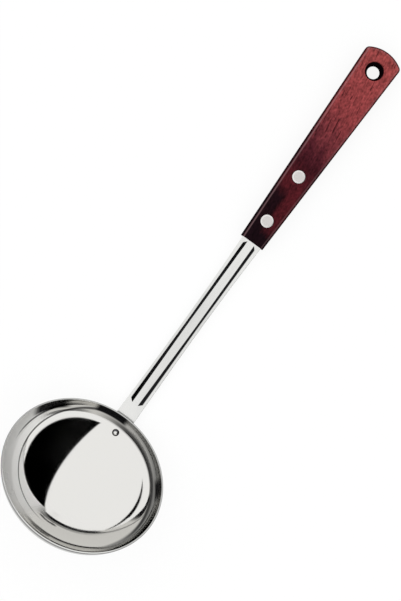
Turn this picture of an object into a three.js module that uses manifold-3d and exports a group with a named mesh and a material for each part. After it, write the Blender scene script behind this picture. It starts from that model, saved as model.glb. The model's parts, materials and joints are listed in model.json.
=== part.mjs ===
// A kitchen ladle: a drawn steel bowl, a stamped steel shank and a riveted wooden handle.
// Millimetres, +Z up. The ladle lies on its back, as it would on a table, with +X towards the
// handle's end and the XZ plane as its plane of symmetry.
import * as THREE from 'three';
import { mergeVertices } from 'three/addons/utils/BufferGeometryUtils.js';
import Module from 'manifold-3d';

const wasm = await Module();
wasm.setup();

// Bowl
const RIM_RADIUS = 47.5;
const BOWL_DEPTH = 29;
const WALL_RADIUS = 18;
const RIM_SLOPE = THREE.MathUtils.degToRad(84);
const BOWL_SHEET = 1;
const RIM_EDGE_ROUND = 0.2;

// Shank: the strip runs up the outside of the bowl, bends away below the rim and goes straight on
const SHANK_RISE = THREE.MathUtils.degToRad(36.1);
const SHANK_LENGTH = 125.8;
const STRIP_THICKNESS = 1.8;
const STRIP_WIDTH_AT_BOWL = 12;
const STRIP_WIDTH_AT_WAIST = 10.6;
const STRIP_WIDTH_AT_HANDLE = 12.6;
const WAIST_PLACE = 63;
const BEND_RADIUS = 18;
const FOOT_BELOW_RIVET = 6;
const FOOT_ABOVE_RIVET = 3;
const FOOT_CORNER_RADIUS = 4.5;

// Channel pressed into the front of the shank, standing out as a rib on its back
const CHANNEL_FLOOR_WIDTH = 4.5;
const CHANNEL_FLANK_WIDTH = 1.6;
const CHANNEL_DEPTH = 1.1;
const CHANNEL_RUN_OUT = 5;
const CHANNEL_TO_BEND = 7.5;
const CHANNEL_TO_HANDLE = 2;

// Tang inside the handle
const TANG_WIDTH = 11;
const TANG_LENGTH = 56;
const TANG_SHOULDER = 3;

// Handle
const HANDLE_LENGTH = 132.9;
const HANDLE_WIDTH_AT_SHANK = 15;
const HANDLE_WIDTH_AT_END = 23.9;
const HANDLE_THICKNESS = 12;
const HANDLE_EDGE_ROUND = 2;
const CROWN_RADIUS = 19.8;
const CROWN_CORNER_RADIUS = 2.8;
const KERF_END_ROOM = 4;

// Hanging hole, countersunk from both faces
const HANG_HOLE_FROM_END = 13.2;
const HANG_HOLE_RADIUS = 3.7;
const HANG_HOLE_MOUTH_RADIUS = 5.6;
const HANG_HOLE_THROAT = 2;

// Handle rivets, with flush countersunk heads on both faces
const LOWER_RIVET_PLACE = 14.7;
const UPPER_RIVET_PLACE = 45.7;
const HANDLE_RIVET_RADIUS = 2.6;
const HANDLE_RIVET_HEAD_RADIUS = 3.7;
const HANDLE_RIVET_HEAD_DEPTH = 1.6;

// Bowl rivet, with a dome on both sides
const BOWL_RIVET_BELOW_JOIN = 0.85;
const BOWL_RIVET_RADIUS = 1.4;
const BOWL_RIVET_HEAD_RADIUS = 2.05;
const BOWL_RIVET_HEAD_HEIGHT = 1.1;

// Clearance between pieces that sit on or in one another
const FIT_GAP = 0.3;

// How far cutting shapes reach past the piece that they cut
const CUT_MARGIN = 3;

// Tolerances: points closer than this are one point, and a turn (in radians) is found this closely
const MERGE_DISTANCE = 1e-4;
const TURN_TOLERANCE = 1e-9;

// Facets
const BOWL_SIDES = 64;
const RIVET_SIDES = 28;
const HOLE_SIDES = 32;
const BOTTOM_STEPS = 12;
const WALL_STEPS = 6;
const RIM_STEPS = 2;
const EDGE_STEPS = 4;
const ARC_STEPS = 6;
const FLANK_STEPS = 3;
const DOME_STEPS = 4;

const polishedSteel = new THREE.MeshStandardMaterial({ color: 0xd9d9d6, roughness: 0.08, metalness: 1 });
const satinSteel = new THREE.MeshStandardMaterial({ color: 0xd4d4d1, roughness: 0.16, metalness: 1 });
const domeSteel = new THREE.MeshStandardMaterial({ color: 0xcfcfcc, roughness: 0.12, metalness: 1 });
const stainedWood = new THREE.MeshStandardMaterial({ color: 0x7c2c30, roughness: 0.5, metalness: 0 });
const satinAluminium = new THREE.MeshStandardMaterial({ color: 0xd6d5d2, roughness: 0.42, metalness: 1 });

// Solids

function toSolid(geometry) {
  const bare = geometry.clone();
  bare.deleteAttribute('normal');
  bare.deleteAttribute('uv');
  const merged = mergeVertices(bare, MERGE_DISTANCE);
  return new wasm.Manifold(new wasm.Mesh({
    numProp: 3,
    vertProperties: new Float32Array(merged.attributes.position.array),
    triVerts: new Uint32Array(merged.index.array),
  }));
}

function toGeometry(solid) {
  const mesh = solid.getMesh();
  const geometry = new THREE.BufferGeometry();
  geometry.setAttribute('position', new THREE.BufferAttribute(new Float32Array(mesh.vertProperties), 3));
  geometry.setIndex(new THREE.BufferAttribute(new Uint32Array(mesh.triVerts), 1));
  geometry.computeVertexNormals();
  return geometry;
}

function cutAway(geometry, cutters) {
  let solid = toSolid(geometry);
  for (const cutter of cutters) {
    solid = solid.subtract(toSolid(cutter));
  }
  return toGeometry(solid);
}

function makeMesh(name, geometry, material) {
  const mesh = new THREE.Mesh(geometry, material);
  mesh.name = name;
  return mesh;
}

// A body of revolution about Z from a profile of [radius, height] pairs
function revolve(profile, sides) {
  const points = profile.map(([radius, height]) => new THREE.Vector2(radius, height));
  return new THREE.LatheGeometry(points, sides).rotateX(Math.PI / 2);
}

function rod(radius, length, sides) {
  return new THREE.CylinderGeometry(radius, radius, length, sides).rotateX(Math.PI / 2);
}

// Points on an arc of the bowl's profile. The angle is the wall's slope, 0 where it is level.
function slopeArc(centre, radius, fromSlope, toSlope, steps) {
  const points = [];
  for (let step = 0; step <= steps; step += 1) {
    const slope = THREE.MathUtils.lerp(fromSlope, toSlope, step / steps);
    points.push([centre.x + radius * Math.sin(slope), centre.y - radius * Math.cos(slope)]);
  }
  return points;
}

// Bowl, with its rim in the plane z = 0 and its axis on Z

// The wall's arc comes down from the rim at the rim's slope. The bottom's arc, with its centre on the
// axis, has the one radius that reaches the bowl's depth and meets the wall's arc at a shared tangent.
const wallCentre = new THREE.Vector2(
  RIM_RADIUS - (WALL_RADIUS + BOWL_SHEET) * Math.sin(RIM_SLOPE),
  (WALL_RADIUS + BOWL_SHEET) * Math.cos(RIM_SLOPE),
);
const wallCentreHeight = wallCentre.y + BOWL_DEPTH;
const bottomRadius = (wallCentre.x ** 2 + wallCentreHeight ** 2 - WALL_RADIUS ** 2)
  / (2 * (wallCentreHeight - WALL_RADIUS));
const bottomCentre = new THREE.Vector2(0, bottomRadius - BOWL_DEPTH);
const joinSlope = Math.atan2(wallCentre.x, bottomCentre.y - wallCentre.y);

// The rim is the sheet's cut edge: flat, with both its corners eased
function bowlProfile() {
  const outerWall = WALL_RADIUS + BOWL_SHEET;
  const rimSlope = Math.acos(wallCentre.y / (WALL_RADIUS + BOWL_SHEET / 2));
  const outer = [
    ...slopeArc(bottomCentre, bottomRadius + BOWL_SHEET, 0, joinSlope, BOTTOM_STEPS).slice(0, -1),
    ...slopeArc(wallCentre, outerWall, joinSlope, rimSlope, WALL_STEPS),
  ];
  const corner = (radius, start) => {
    const [x, z] = slopeArc(wallCentre, radius, rimSlope, rimSlope, 1)[0];
    return Array.from({ length: RIM_STEPS + 1 }, (unused, step) => {
      const turn = start + (Math.PI / 2) * (step / RIM_STEPS);
      return [x + RIM_EDGE_ROUND * Math.cos(turn), z + RIM_EDGE_ROUND * Math.sin(turn)];
    });
  };
  const cutEdge = [
    ...corner(outerWall - RIM_EDGE_ROUND, rimSlope - Math.PI / 2).slice(1),
    ...corner(WALL_RADIUS + RIM_EDGE_ROUND, rimSlope).slice(0, -1),
  ];
  const inner = [
    ...slopeArc(wallCentre, WALL_RADIUS, rimSlope, joinSlope, WALL_STEPS).slice(0, -1),
    ...slopeArc(bottomCentre, bottomRadius, joinSlope, 0, BOTTOM_STEPS),
  ];
  return [...outer, ...cutEdge, ...inner];
}

// The bowl rivet's own frame: its origin is on the bowl's inside, its Z points into the bowl
const rivetSlope = joinSlope - BOWL_RIVET_BELOW_JOIN / bottomRadius;

function placeOnBowlRivet(geometry) {
  const [x, z] = slopeArc(bottomCentre, bottomRadius, rivetSlope, rivetSlope, 1)[0];
  return geometry.rotateY(-rivetSlope).translate(x, 0, z);
}

function bowlRivetHole() {
  const length = 2 * (BOWL_SHEET + STRIP_THICKNESS + CUT_MARGIN);
  return placeOnBowlRivet(rod(BOWL_RIVET_RADIUS + FIT_GAP, length, RIVET_SIDES));
}

function makeBowl() {
  const shell = revolve(bowlProfile(), BOWL_SIDES);
  return makeMesh('bowl', cutAway(shell, [bowlRivetHole()]), polishedSteel);
}

function makeBowlRivet() {
  const grip = BOWL_SHEET + STRIP_THICKNESS + 2 * FIT_GAP;
  const dome = (seat, side) => Array.from({ length: DOME_STEPS }, (unused, step) => {
    const angle = (Math.PI / 2) * (step / DOME_STEPS);
    return [BOWL_RIVET_HEAD_RADIUS * Math.cos(angle), seat + side * BOWL_RIVET_HEAD_HEIGHT * Math.sin(angle)];
  });
  const profile = [
    [0, -grip - BOWL_RIVET_HEAD_HEIGHT],
    ...dome(-grip, -1).reverse(),
    [BOWL_RIVET_RADIUS, -grip],
    [BOWL_RIVET_RADIUS, FIT_GAP],
    ...dome(FIT_GAP, 1),
    [0, FIT_GAP + BOWL_RIVET_HEAD_HEIGHT],
  ];
  return makeMesh('bowl_rivet', placeOnBowlRivet(revolve(profile, RIVET_SIDES)), domeSteel);
}

// Shank. A flat blank has s along the strip, y across it and n out of its front face. It is pressed,
// then bent along the path of its middle surface.

const footRadius = bottomRadius + BOWL_SHEET + FIT_GAP + STRIP_THICKNESS / 2;
const footStartSlope = rivetSlope - FOOT_BELOW_RIVET / footRadius;
const footEndSlope = rivetSlope + FOOT_ABOVE_RIVET / footRadius;
const footLength = FOOT_BELOW_RIVET + FOOT_ABOVE_RIVET;
const bendLength = BEND_RADIUS * (footEndSlope - SHANK_RISE);
const straightStart = footLength + bendLength;
const tangStart = straightStart + SHANK_LENGTH;
const stripLength = tangStart + TANG_LENGTH;

const footEnd = slopeArc(bottomCentre, footRadius, footEndSlope, footEndSlope, 1)[0];

// Middle of the bend's arc, and the start of the straight length
const bendCentre = [
  footEnd[0] + BEND_RADIUS * Math.sin(footEndSlope),
  footEnd[1] - BEND_RADIUS * Math.cos(footEndSlope),
];
const shankOrigin = [
  bendCentre[0] - BEND_RADIUS * Math.sin(SHANK_RISE),
  bendCentre[1] + BEND_RADIUS * Math.cos(SHANK_RISE),
];

// Place and slope of the strip's middle surface at a length s from the foot's end
function pathAt(s) {
  if (s <= footLength) {
    const slope = footStartSlope + s / footRadius;
    const [x, z] = slopeArc(bottomCentre, footRadius, slope, slope, 1)[0];
    return { x, z, slope };
  }
  if (s <= straightStart) {
    const slope = footEndSlope - (s - footLength) / BEND_RADIUS;
    const x = bendCentre[0] - BEND_RADIUS * Math.sin(slope);
    const z = bendCentre[1] + BEND_RADIUS * Math.cos(slope);
    return { x, z, slope };
  }
  const run = s - straightStart;
  const x = shankOrigin[0] + run * Math.cos(SHANK_RISE);
  const z = shankOrigin[1] + run * Math.sin(SHANK_RISE);
  return { x, z, slope: SHANK_RISE };
}

// Half the strip's width: waisted between bowl and handle, with a shoulder down to the tang
function halfWidthAt(s) {
  const waist = straightStart + WAIST_PLACE;
  if (s <= waist) {
    const share = Math.max(0, (s - straightStart) / WAIST_PLACE);
    return THREE.MathUtils.lerp(STRIP_WIDTH_AT_BOWL, STRIP_WIDTH_AT_WAIST, 1 - (1 - share) ** 2) / 2;
  }
  if (s <= tangStart) {
    const share = (s - waist) / (tangStart - waist);
    return THREE.MathUtils.lerp(STRIP_WIDTH_AT_WAIST, STRIP_WIDTH_AT_HANDLE, share ** 2) / 2;
  }
  const share = Math.min(1, (s - tangStart) / TANG_SHOULDER);
  return THREE.MathUtils.lerp(STRIP_WIDTH_AT_HANDLE, TANG_WIDTH, share) / 2;
}

// Depth of the pressing: a level floor whose two ends run out to the strip's face
function pressDepthAt(s, y) {
  const start = straightStart + CHANNEL_TO_BEND;
  const end = tangStart - CHANNEL_TO_HANDLE;
  const toEnd = Math.min(s - start, end - s) / CHANNEL_RUN_OUT;
  const floorDepth = CHANNEL_DEPTH * THREE.MathUtils.clamp(toEnd, 0, 1);
  const rise = CHANNEL_DEPTH * THREE.MathUtils.smoothstep(
    Math.abs(y) - CHANNEL_FLOOR_WIDTH / 2,
    0,
    CHANNEL_FLANK_WIDTH,
  );
  return Math.max(0, floorDepth - rise);
}

// The foot is dished to the bowl's roundness, and the dish fades out along the bend
function dishedX(x, y, s) {
  const share = 1 - THREE.MathUtils.smoothstep(s, footLength, straightStart);
  return THREE.MathUtils.lerp(x, Math.sqrt(x ** 2 - y ** 2), share);
}

// Even steps from one value to the next along a list of stops, with the number of steps for each
function stations(stops, counts) {
  const values = [stops[0]];
  counts.forEach((count, index) => {
    for (let step = 1; step <= count; step += 1) {
      values.push(THREE.MathUtils.lerp(stops[index], stops[index + 1], step / count));
    }
  });
  return values;
}

function lengthStations() {
  const channelStart = straightStart + CHANNEL_TO_BEND;
  const channelEnd = tangStart - CHANNEL_TO_HANDLE;
  return stations(
    [
      0, footLength, straightStart, channelStart, channelStart + CHANNEL_RUN_OUT,
      channelEnd - CHANNEL_RUN_OUT, channelEnd, tangStart, tangStart + TANG_SHOULDER, stripLength,
    ],
    [ARC_STEPS, ARC_STEPS, 1, ARC_STEPS, 2 * ARC_STEPS, ARC_STEPS, 1, 1, 1],
  );
}

// Places across the strip, from one edge to the other, for a given half width
function widthStations(halfWidth) {
  const floorHalf = CHANNEL_FLOOR_WIDTH / 2;
  const mouthHalf = floorHalf + CHANNEL_FLANK_WIDTH;
  return stations(
    [-halfWidth, -mouthHalf, -floorHalf, floorHalf, mouthHalf, halfWidth],
    [1, FLANK_STEPS, 2, FLANK_STEPS, 1],
  );
}

function shankStrip() {
  const lengths = lengthStations();
  const acrossCount = widthStations(TANG_WIDTH).length - 1;
  const alongCount = lengths.length - 1;
  const blank = new THREE.BoxGeometry(alongCount, acrossCount, 1, alongCount, acrossCount, 1);
  const position = blank.attributes.position;
  for (let index = 0; index < position.count; index += 1) {
    const s = lengths[Math.round(position.getX(index) + alongCount / 2)];
    const y = widthStations(halfWidthAt(s))[Math.round(position.getY(index) + acrossCount / 2)];
    const n = position.getZ(index) * STRIP_THICKNESS - pressDepthAt(s, y);
    const { x, z, slope } = pathAt(s);
    const bentX = x - n * Math.sin(slope);
    position.setXYZ(index, dishedX(bentX, y, s), y, z + n * Math.cos(slope));
  }
  return blank;
}

// What is trimmed off the blank to round the two corners of the foot's free end
function footCornerTrim() {
  const halfWidth = STRIP_WIDTH_AT_BOWL / 2;
  const corner = Math.min(FOOT_CORNER_RADIUS, halfWidth);
  const low = -FOOT_BELOW_RIVET;
  const trim = new THREE.Shape();
  trim.moveTo(low + corner, -halfWidth - CUT_MARGIN);
  trim.lineTo(low + corner, -halfWidth);
  trim.absarc(low + corner, -halfWidth + corner, corner, -Math.PI / 2, -Math.PI, true);
  trim.lineTo(low, halfWidth - corner);
  trim.absarc(low + corner, halfWidth - corner, corner, Math.PI, Math.PI / 2, true);
  trim.lineTo(low + corner, halfWidth + CUT_MARGIN);
  trim.lineTo(low - CUT_MARGIN, halfWidth + CUT_MARGIN);
  trim.lineTo(low - CUT_MARGIN, -halfWidth - CUT_MARGIN);
  const depth = 2 * (BOWL_SHEET + STRIP_THICKNESS + CUT_MARGIN);
  const solid = new THREE.ExtrudeGeometry(trim, { depth, bevelEnabled: false, curveSegments: ARC_STEPS });
  return placeOnBowlRivet(solid.translate(0, 0, -depth / 2));
}

// Moves a geometry from the straight length's frame (x along it, z out of its front) into the bowl's
function placeOnShank(geometry) {
  return geometry.rotateY(-SHANK_RISE).translate(shankOrigin[0], 0, shankOrigin[1]);
}

const rivetPlaces = { lower_handle_rivet: LOWER_RIVET_PLACE, upper_handle_rivet: UPPER_RIVET_PLACE };

function handleRivetHoles() {
  return Object.values(rivetPlaces).map((place) => (
    rod(HANDLE_RIVET_RADIUS + FIT_GAP, HANDLE_THICKNESS + 2 * CUT_MARGIN, RIVET_SIDES)
      .translate(SHANK_LENGTH + place, 0, 0)
  ));
}

function makeShank() {
  const cutters = [bowlRivetHole(), footCornerTrim(), ...handleRivetHoles().map(placeOnShank)];
  return makeMesh('shank', cutAway(shankStrip(), cutters), satinSteel);
}

// Handle, in the straight length's frame

// The outline: two tapering edges, a crowned end and a small arc in each corner between them
function handleOutline() {
  const start = new THREE.Vector2(0, HANDLE_WIDTH_AT_SHANK / 2);
  const end = new THREE.Vector2(HANDLE_LENGTH, HANDLE_WIDTH_AT_END / 2);
  const along = end.clone().sub(start).normalize();
  const outward = new THREE.Vector2(-along.y, along.x);
  const crown = HANDLE_LENGTH - CROWN_RADIUS;
  const inset = start.clone().addScaledVector(outward, -CROWN_CORNER_RADIUS);
  const fromCrown = inset.clone().sub(new THREE.Vector2(crown, 0));
  const half = fromCrown.dot(along);
  const reach = CROWN_RADIUS - CROWN_CORNER_RADIUS;
  const travel = -half + Math.sqrt(half ** 2 - fromCrown.lengthSq() + reach ** 2);
  const corner = inset.clone().addScaledVector(along, travel);
  const edgeEnd = corner.clone().addScaledVector(outward, CROWN_CORNER_RADIUS);
  const edgeAngle = Math.atan2(outward.y, outward.x);
  const crownAngle = Math.atan2(corner.y, corner.x - crown);
  const overrun = start.clone().addScaledVector(along, -CUT_MARGIN - HANDLE_EDGE_ROUND);
  const outline = new THREE.Shape();
  outline.moveTo(overrun.x, -overrun.y);
  outline.lineTo(edgeEnd.x, -edgeEnd.y);
  outline.absarc(corner.x, -corner.y, CROWN_CORNER_RADIUS, -edgeAngle, -crownAngle, false);
  outline.absarc(crown, 0, CROWN_RADIUS, -crownAngle, crownAngle, false);
  outline.absarc(corner.x, corner.y, CROWN_CORNER_RADIUS, crownAngle, edgeAngle, false);
  outline.lineTo(overrun.x, overrun.y);
  return outline;
}

function hangingHole() {
  const half = HANDLE_THICKNESS / 2;
  const throat = HANG_HOLE_THROAT / 2;
  const widening = (HANG_HOLE_MOUTH_RADIUS - HANG_HOLE_RADIUS) / (half - throat);
  const wide = HANG_HOLE_MOUTH_RADIUS + widening * CUT_MARGIN;
  const profile = [
    [0, -half - CUT_MARGIN],
    [wide, -half - CUT_MARGIN],
    [HANG_HOLE_RADIUS, -throat],
    [HANG_HOLE_RADIUS, throat],
    [wide, half + CUT_MARGIN],
    [0, half + CUT_MARGIN],
  ];
  return revolve(profile, HOLE_SIDES).translate(HANDLE_LENGTH - HANG_HOLE_FROM_END, 0, 0);
}

// Profile of a handle rivet, grown by a gap all round
function handleRivetProfile(gap, overrun) {
  const half = HANDLE_THICKNESS / 2;
  const slope = (HANDLE_RIVET_HEAD_RADIUS - HANDLE_RIVET_RADIUS) / HANDLE_RIVET_HEAD_DEPTH;
  const head = HANDLE_RIVET_HEAD_RADIUS + gap + slope * overrun;
  const neck = half - HANDLE_RIVET_HEAD_DEPTH;
  return [
    [0, -half - overrun],
    [head, -half - overrun],
    [HANDLE_RIVET_RADIUS + gap, -neck],
    [HANDLE_RIVET_RADIUS + gap, neck],
    [head, half + overrun],
    [0, half + overrun],
  ];
}

function kerf() {
  const height = STRIP_THICKNESS + 2 * FIT_GAP;
  const length = TANG_LENGTH + KERF_END_ROOM + CUT_MARGIN;
  const width = HANDLE_WIDTH_AT_END + 2 * CUT_MARGIN;
  return new THREE.BoxGeometry(length, width, height).translate(length / 2 - CUT_MARGIN, 0, 0);
}

// Cuts the overrun of the rounded edges off, so that the end at the shank is square
function shankEndCut() {
  const length = 2 * (CUT_MARGIN + HANDLE_EDGE_ROUND);
  const width = HANDLE_WIDTH_AT_END + 2 * CUT_MARGIN;
  const height = HANDLE_THICKNESS + 2 * CUT_MARGIN;
  return new THREE.BoxGeometry(length, width, height).translate(-length / 2, 0, 0);
}

function makeHandle() {
  const block = new THREE.ExtrudeGeometry(handleOutline(), {
    depth: HANDLE_THICKNESS - 2 * HANDLE_EDGE_ROUND,
    bevelThickness: HANDLE_EDGE_ROUND,
    bevelSize: HANDLE_EDGE_ROUND,
    bevelOffset: -HANDLE_EDGE_ROUND,
    bevelSegments: EDGE_STEPS,
    curveSegments: ARC_STEPS,
  }).translate(0, 0, HANDLE_EDGE_ROUND - HANDLE_THICKNESS / 2);
  const rivetSeats = Object.values(rivetPlaces).map((place) => (
    revolve(handleRivetProfile(FIT_GAP, CUT_MARGIN), RIVET_SIDES).translate(place, 0, 0)
  ));
  const geometry = cutAway(block, [shankEndCut(), kerf(), hangingHole(), ...rivetSeats]);
  return makeMesh('handle', placeOnShank(geometry.translate(SHANK_LENGTH, 0, 0)), stainedWood);
}

function makeHandleRivets() {
  return Object.entries(rivetPlaces).map(([name, place]) => {
    const rivet = revolve(handleRivetProfile(0, 0), RIVET_SIDES).translate(SHANK_LENGTH + place, 0, 0);
    return makeMesh(name, placeOnShank(rivet), satinAluminium);
  });
}

// The lowest point of some meshes once they are turned about Y by an angle
function lowestPoint(meshes, angle) {
  let lowest = Infinity;
  for (const mesh of meshes) {
    const position = mesh.geometry.attributes.position;
    for (let index = 0; index < position.count; index += 1) {
      const height = position.getZ(index) * Math.cos(angle) - position.getX(index) * Math.sin(angle);
      lowest = Math.min(lowest, height);
    }
  }
  return lowest;
}

// The turn that lays the ladle down: its bowl end and its handle then touch the table together
function lyingAngle(bowlEnd, handleEnd) {
  let low = 0;
  let high = Math.PI / 2;
  while (high - low > TURN_TOLERANCE) {
    const middle = (low + high) / 2;
    if (lowestPoint(bowlEnd, middle) < lowestPoint(handleEnd, middle)) {
      low = middle;
    } else {
      high = middle;
    }
  }
  return (low + high) / 2;
}

function layDown(bowlEnd, handleEnd) {
  const assembly = new THREE.Group();
  assembly.add(...bowlEnd, ...handleEnd);
  assembly.rotation.y = lyingAngle(bowlEnd, handleEnd);
  const ladle = new THREE.Group();
  ladle.add(assembly);
  ladle.updateMatrixWorld(true);
  const box = new THREE.Box3().setFromObject(ladle, true);
  const middle = box.getCenter(new THREE.Vector3());
  assembly.position.set(-middle.x, -middle.y, -box.min.z);
  ladle.updateMatrixWorld(true);
  return ladle;
}

const ladle = layDown(
  [makeBowl(), makeShank(), makeBowlRivet()],
  [makeHandle(), ...makeHandleRivets()],
);

export default ladle;
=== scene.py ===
"""A kitchen ladle: polished bowl, stamped shank, stained wooden handle and three rivets.

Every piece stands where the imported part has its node: metres, +X along the ladle from the bowl
to the handle's end, +Z up from the table that the ladle lies on.
"""

from __future__ import annotations

import json
import logging
import math
from abc import ABC, abstractmethod
from collections.abc import Mapping, Sequence
from dataclasses import dataclass, field
from enum import Enum
from functools import cached_property
from typing import Any, ClassVar

import bpy
import numpy as np
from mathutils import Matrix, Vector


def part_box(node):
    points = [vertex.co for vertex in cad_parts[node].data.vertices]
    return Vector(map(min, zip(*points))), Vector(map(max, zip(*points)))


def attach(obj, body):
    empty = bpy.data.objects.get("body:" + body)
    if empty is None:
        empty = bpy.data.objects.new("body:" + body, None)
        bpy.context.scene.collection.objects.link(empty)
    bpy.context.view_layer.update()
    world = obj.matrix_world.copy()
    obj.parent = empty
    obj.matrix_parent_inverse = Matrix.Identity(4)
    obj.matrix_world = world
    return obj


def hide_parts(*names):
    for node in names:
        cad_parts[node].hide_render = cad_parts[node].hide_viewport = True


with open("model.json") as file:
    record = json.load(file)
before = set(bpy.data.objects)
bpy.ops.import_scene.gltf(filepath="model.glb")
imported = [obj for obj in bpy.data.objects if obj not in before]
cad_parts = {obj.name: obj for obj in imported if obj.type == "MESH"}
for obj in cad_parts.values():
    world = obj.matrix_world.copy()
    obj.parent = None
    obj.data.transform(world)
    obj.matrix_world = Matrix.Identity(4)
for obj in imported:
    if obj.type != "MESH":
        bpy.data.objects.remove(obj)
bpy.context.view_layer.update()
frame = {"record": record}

LOG = logging.getLogger("ladle")

Array = np.ndarray
Colour = tuple[float, float, float, float]
Triple = tuple[float, float, float]
Range = tuple[float, float]

WHITE: Colour = (1.0, 1.0, 1.0, 1.0)


class Slot(Enum):
    """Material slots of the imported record."""

    POLISHED_STEEL = "polished_steel"
    STRIP_STEEL = "strip_steel"
    RIVET_STEEL = "rivet_steel"
    STAINED_WOOD = "stained_wood"
    RIVET_ALUMINIUM = "rivet_aluminium"


class Mark(Enum):
    """Attributes that the meshes carry for their finishes."""

    RADIUS = "radius"
    TOWARDS = "towards_handle"
    ASIDE = "aside"
    FLANK = "flank"


def painted(red: int, green: int, blue: int) -> Colour:
    """Turn a colour as it looks on a screen, 0 to 255, into the linear colour of a socket.

    Args:
        red: Red share.
        green: Green share.
        blue: Blue share.

    Returns:
        Linear red, green and blue, with an alpha of 1.
    """
    shares = np.array([red, green, blue]) / 255.0
    linear = np.where(shares <= 0.04045, shares / 12.92, ((shares + 0.055) / 1.055) ** 2.4)
    return (float(linear[0]), float(linear[1]), float(linear[2]), 1.0)


def eased(values: Array) -> Array:
    """Ease from 0 to 1 as 3v^2 - 2v^3, with values outside 0 to 1 held at the ends."""
    held = np.clip(values, 0.0, 1.0)
    return held * held * (3.0 - 2.0 * held)


def blended_most(first: Array, second: Array, rounding: float) -> Array:
    """Return the larger of two values, with the crossing rounded as a hyperbola.

    Args:
        first: One surface's height.
        second: The other surface's height.
        rounding: Width of the rounded crossing, in the heights' own unit.

    Returns:
        Half of the sum plus half of the root of (difference^2 + rounding^2).
    """
    return 0.5 * (first + second + np.sqrt((first - second) ** 2 + rounding**2))


def stations(stops: Sequence[float], counts: Sequence[int]) -> Array:
    """Place even steps between each stop and the next one.

    Args:
        stops: Values that must be among the stations, in order.
        counts: Number of steps from each stop to the next.

    Returns:
        All the values in order, each stop once.
    """
    runs = [
        np.linspace(start, end, count, endpoint=False)
        for start, end, count in zip(stops[:-1], stops[1:], counts, strict=True)
    ]
    return np.concatenate([*runs, [stops[-1]]])


def on_arc(centre: Array, radius: float | Array, slopes: Array) -> Array:
    """Points below a centre, where a wall has these slopes.

    Args:
        centre: Middle of the arc, as (x, z).
        radius: Radius of the arc, or one for each point.
        slopes: Slope of the wall at each point, 0 where it is level.

    Returns:
        (x, z) of each point: centre + radius (sin slope, -cos slope).
    """
    return np.stack(
        [centre[0] + radius * np.sin(slopes), centre[1] - radius * np.cos(slopes)], axis=-1
    )


def turned(points: Array, angle: float, origin: Sequence[float]) -> Array:
    """Turn points about Y and move them.

    Args:
        points: Points with x, y, z in the last axis.
        angle: Turn from +Z towards +X.
        origin: Where (0, 0, 0) goes, as (x, z).

    Returns:
        x cos + z sin, y, z cos - x sin, each moved by the origin.
    """
    x, y, z = np.moveaxis(points, -1, 0)
    cosine, sine = math.cos(angle), math.sin(angle)
    return np.stack(
        [x * cosine + z * sine + origin[0], y, z * cosine - x * sine + origin[1]], axis=-1
    )


@dataclass
class Skin:
    """A closed surface: its points, its faces and what each point carries for the finish."""

    points: Array
    faces: list[list[int]]
    marks: dict[Mark, Array] = field(default_factory=dict)

    def place(self, angle: float, origin: Sequence[float]) -> Skin:
        """Return the same surface turned about Y and moved, as in `turned`."""
        return Skin(turned(self.points, angle, origin), self.faces, self.marks)

    def moved(self, by: Array | Sequence[float]) -> Skin:
        """Return the same surface moved, all of it alike or each point by its own shift."""
        return Skin(self.points + np.asarray(by), self.faces, self.marks)

    def as_object(self, name: str) -> bpy.types.Object:
        """Make the surface a smooth-shaded mesh object at the origin.

        Args:
            name: Name of the object and of its mesh.

        Returns:
            The object, linked to the scene.
        """
        mesh = bpy.data.meshes.new(name)
        mesh.from_pydata(self.points.tolist(), [], self.faces)
        for mark, values in self.marks.items():
            layer = mesh.attributes.new(mark.value, "FLOAT", "POINT")
            layer.data.foreach_set("value", values.astype(np.float32))
        mesh.polygons.foreach_set("use_smooth", np.ones(len(mesh.polygons), bool))
        mesh.validate()
        made = bpy.data.objects.new(name, mesh)
        bpy.context.scene.collection.objects.link(made)
        return made


def wrapped_faces(rows: int, columns: int, *, closed: bool) -> Array:
    """Four-sided faces of a grid whose points are numbered row by row.

    Args:
        rows: Number of rows.
        columns: Number of points in each row.
        closed: Whether each row's last point joins its first one.

    Returns:
        Corners (row, column), (row + 1, column), (row + 1, column + 1), (row, column + 1).
    """
    numbers = np.arange(rows * columns).reshape(rows, columns)
    beside = np.roll(numbers, -1, axis=1)
    if not closed:
        numbers, beside = numbers[:, :-1], beside[:, :-1]
    corners = [numbers[:-1], numbers[1:], beside[1:], beside[:-1]]
    return np.stack(corners, axis=-1).reshape(-1, 4)


def revolved(profile: Array, sides: int) -> Skin:
    """Carry a profile round the Z axis.

    A point at radius r and height h becomes (r cos a, r sin a, h) for every angle a. The profile
    starts and ends on the axis, where the surface closes in a fan of triangles, and runs upwards
    on its outer side.

    Args:
        profile: (radius, height) of each point, from one pole to the other.
        sides: Number of steps round the axis.

    Returns:
        The closed surface, with each point's radius as a mark.
    """
    angles = np.linspace(0.0, 2.0 * math.pi, sides, endpoint=False)
    rings = profile[1:-1]
    radius, height = rings[:, :1], rings[:, 1:]
    around = np.stack(
        [radius * np.cos(angles), radius * np.sin(angles), height + 0.0 * angles], axis=-1
    )
    poles = np.array([[0.0, 0.0, profile[0, 1]], [0.0, 0.0, profile[-1, 1]]])
    points = np.concatenate([around.reshape(-1, 3), poles])
    count = len(rings) * sides
    first = np.arange(sides)
    last = first + count - sides
    fan_low = np.stack([np.full(sides, count), np.roll(first, -1), first], axis=-1)
    fan_high = np.stack([last, np.roll(last, -1), np.full(sides, count + 1)], axis=-1)
    between = wrapped_faces(len(rings), sides, closed=True)[:, ::-1]
    faces = [*fan_low.tolist(), *between.tolist(), *fan_high.tolist()]
    return Skin(points, faces, {Mark.RADIUS: np.hypot(points[:, 0], points[:, 1])})


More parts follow.
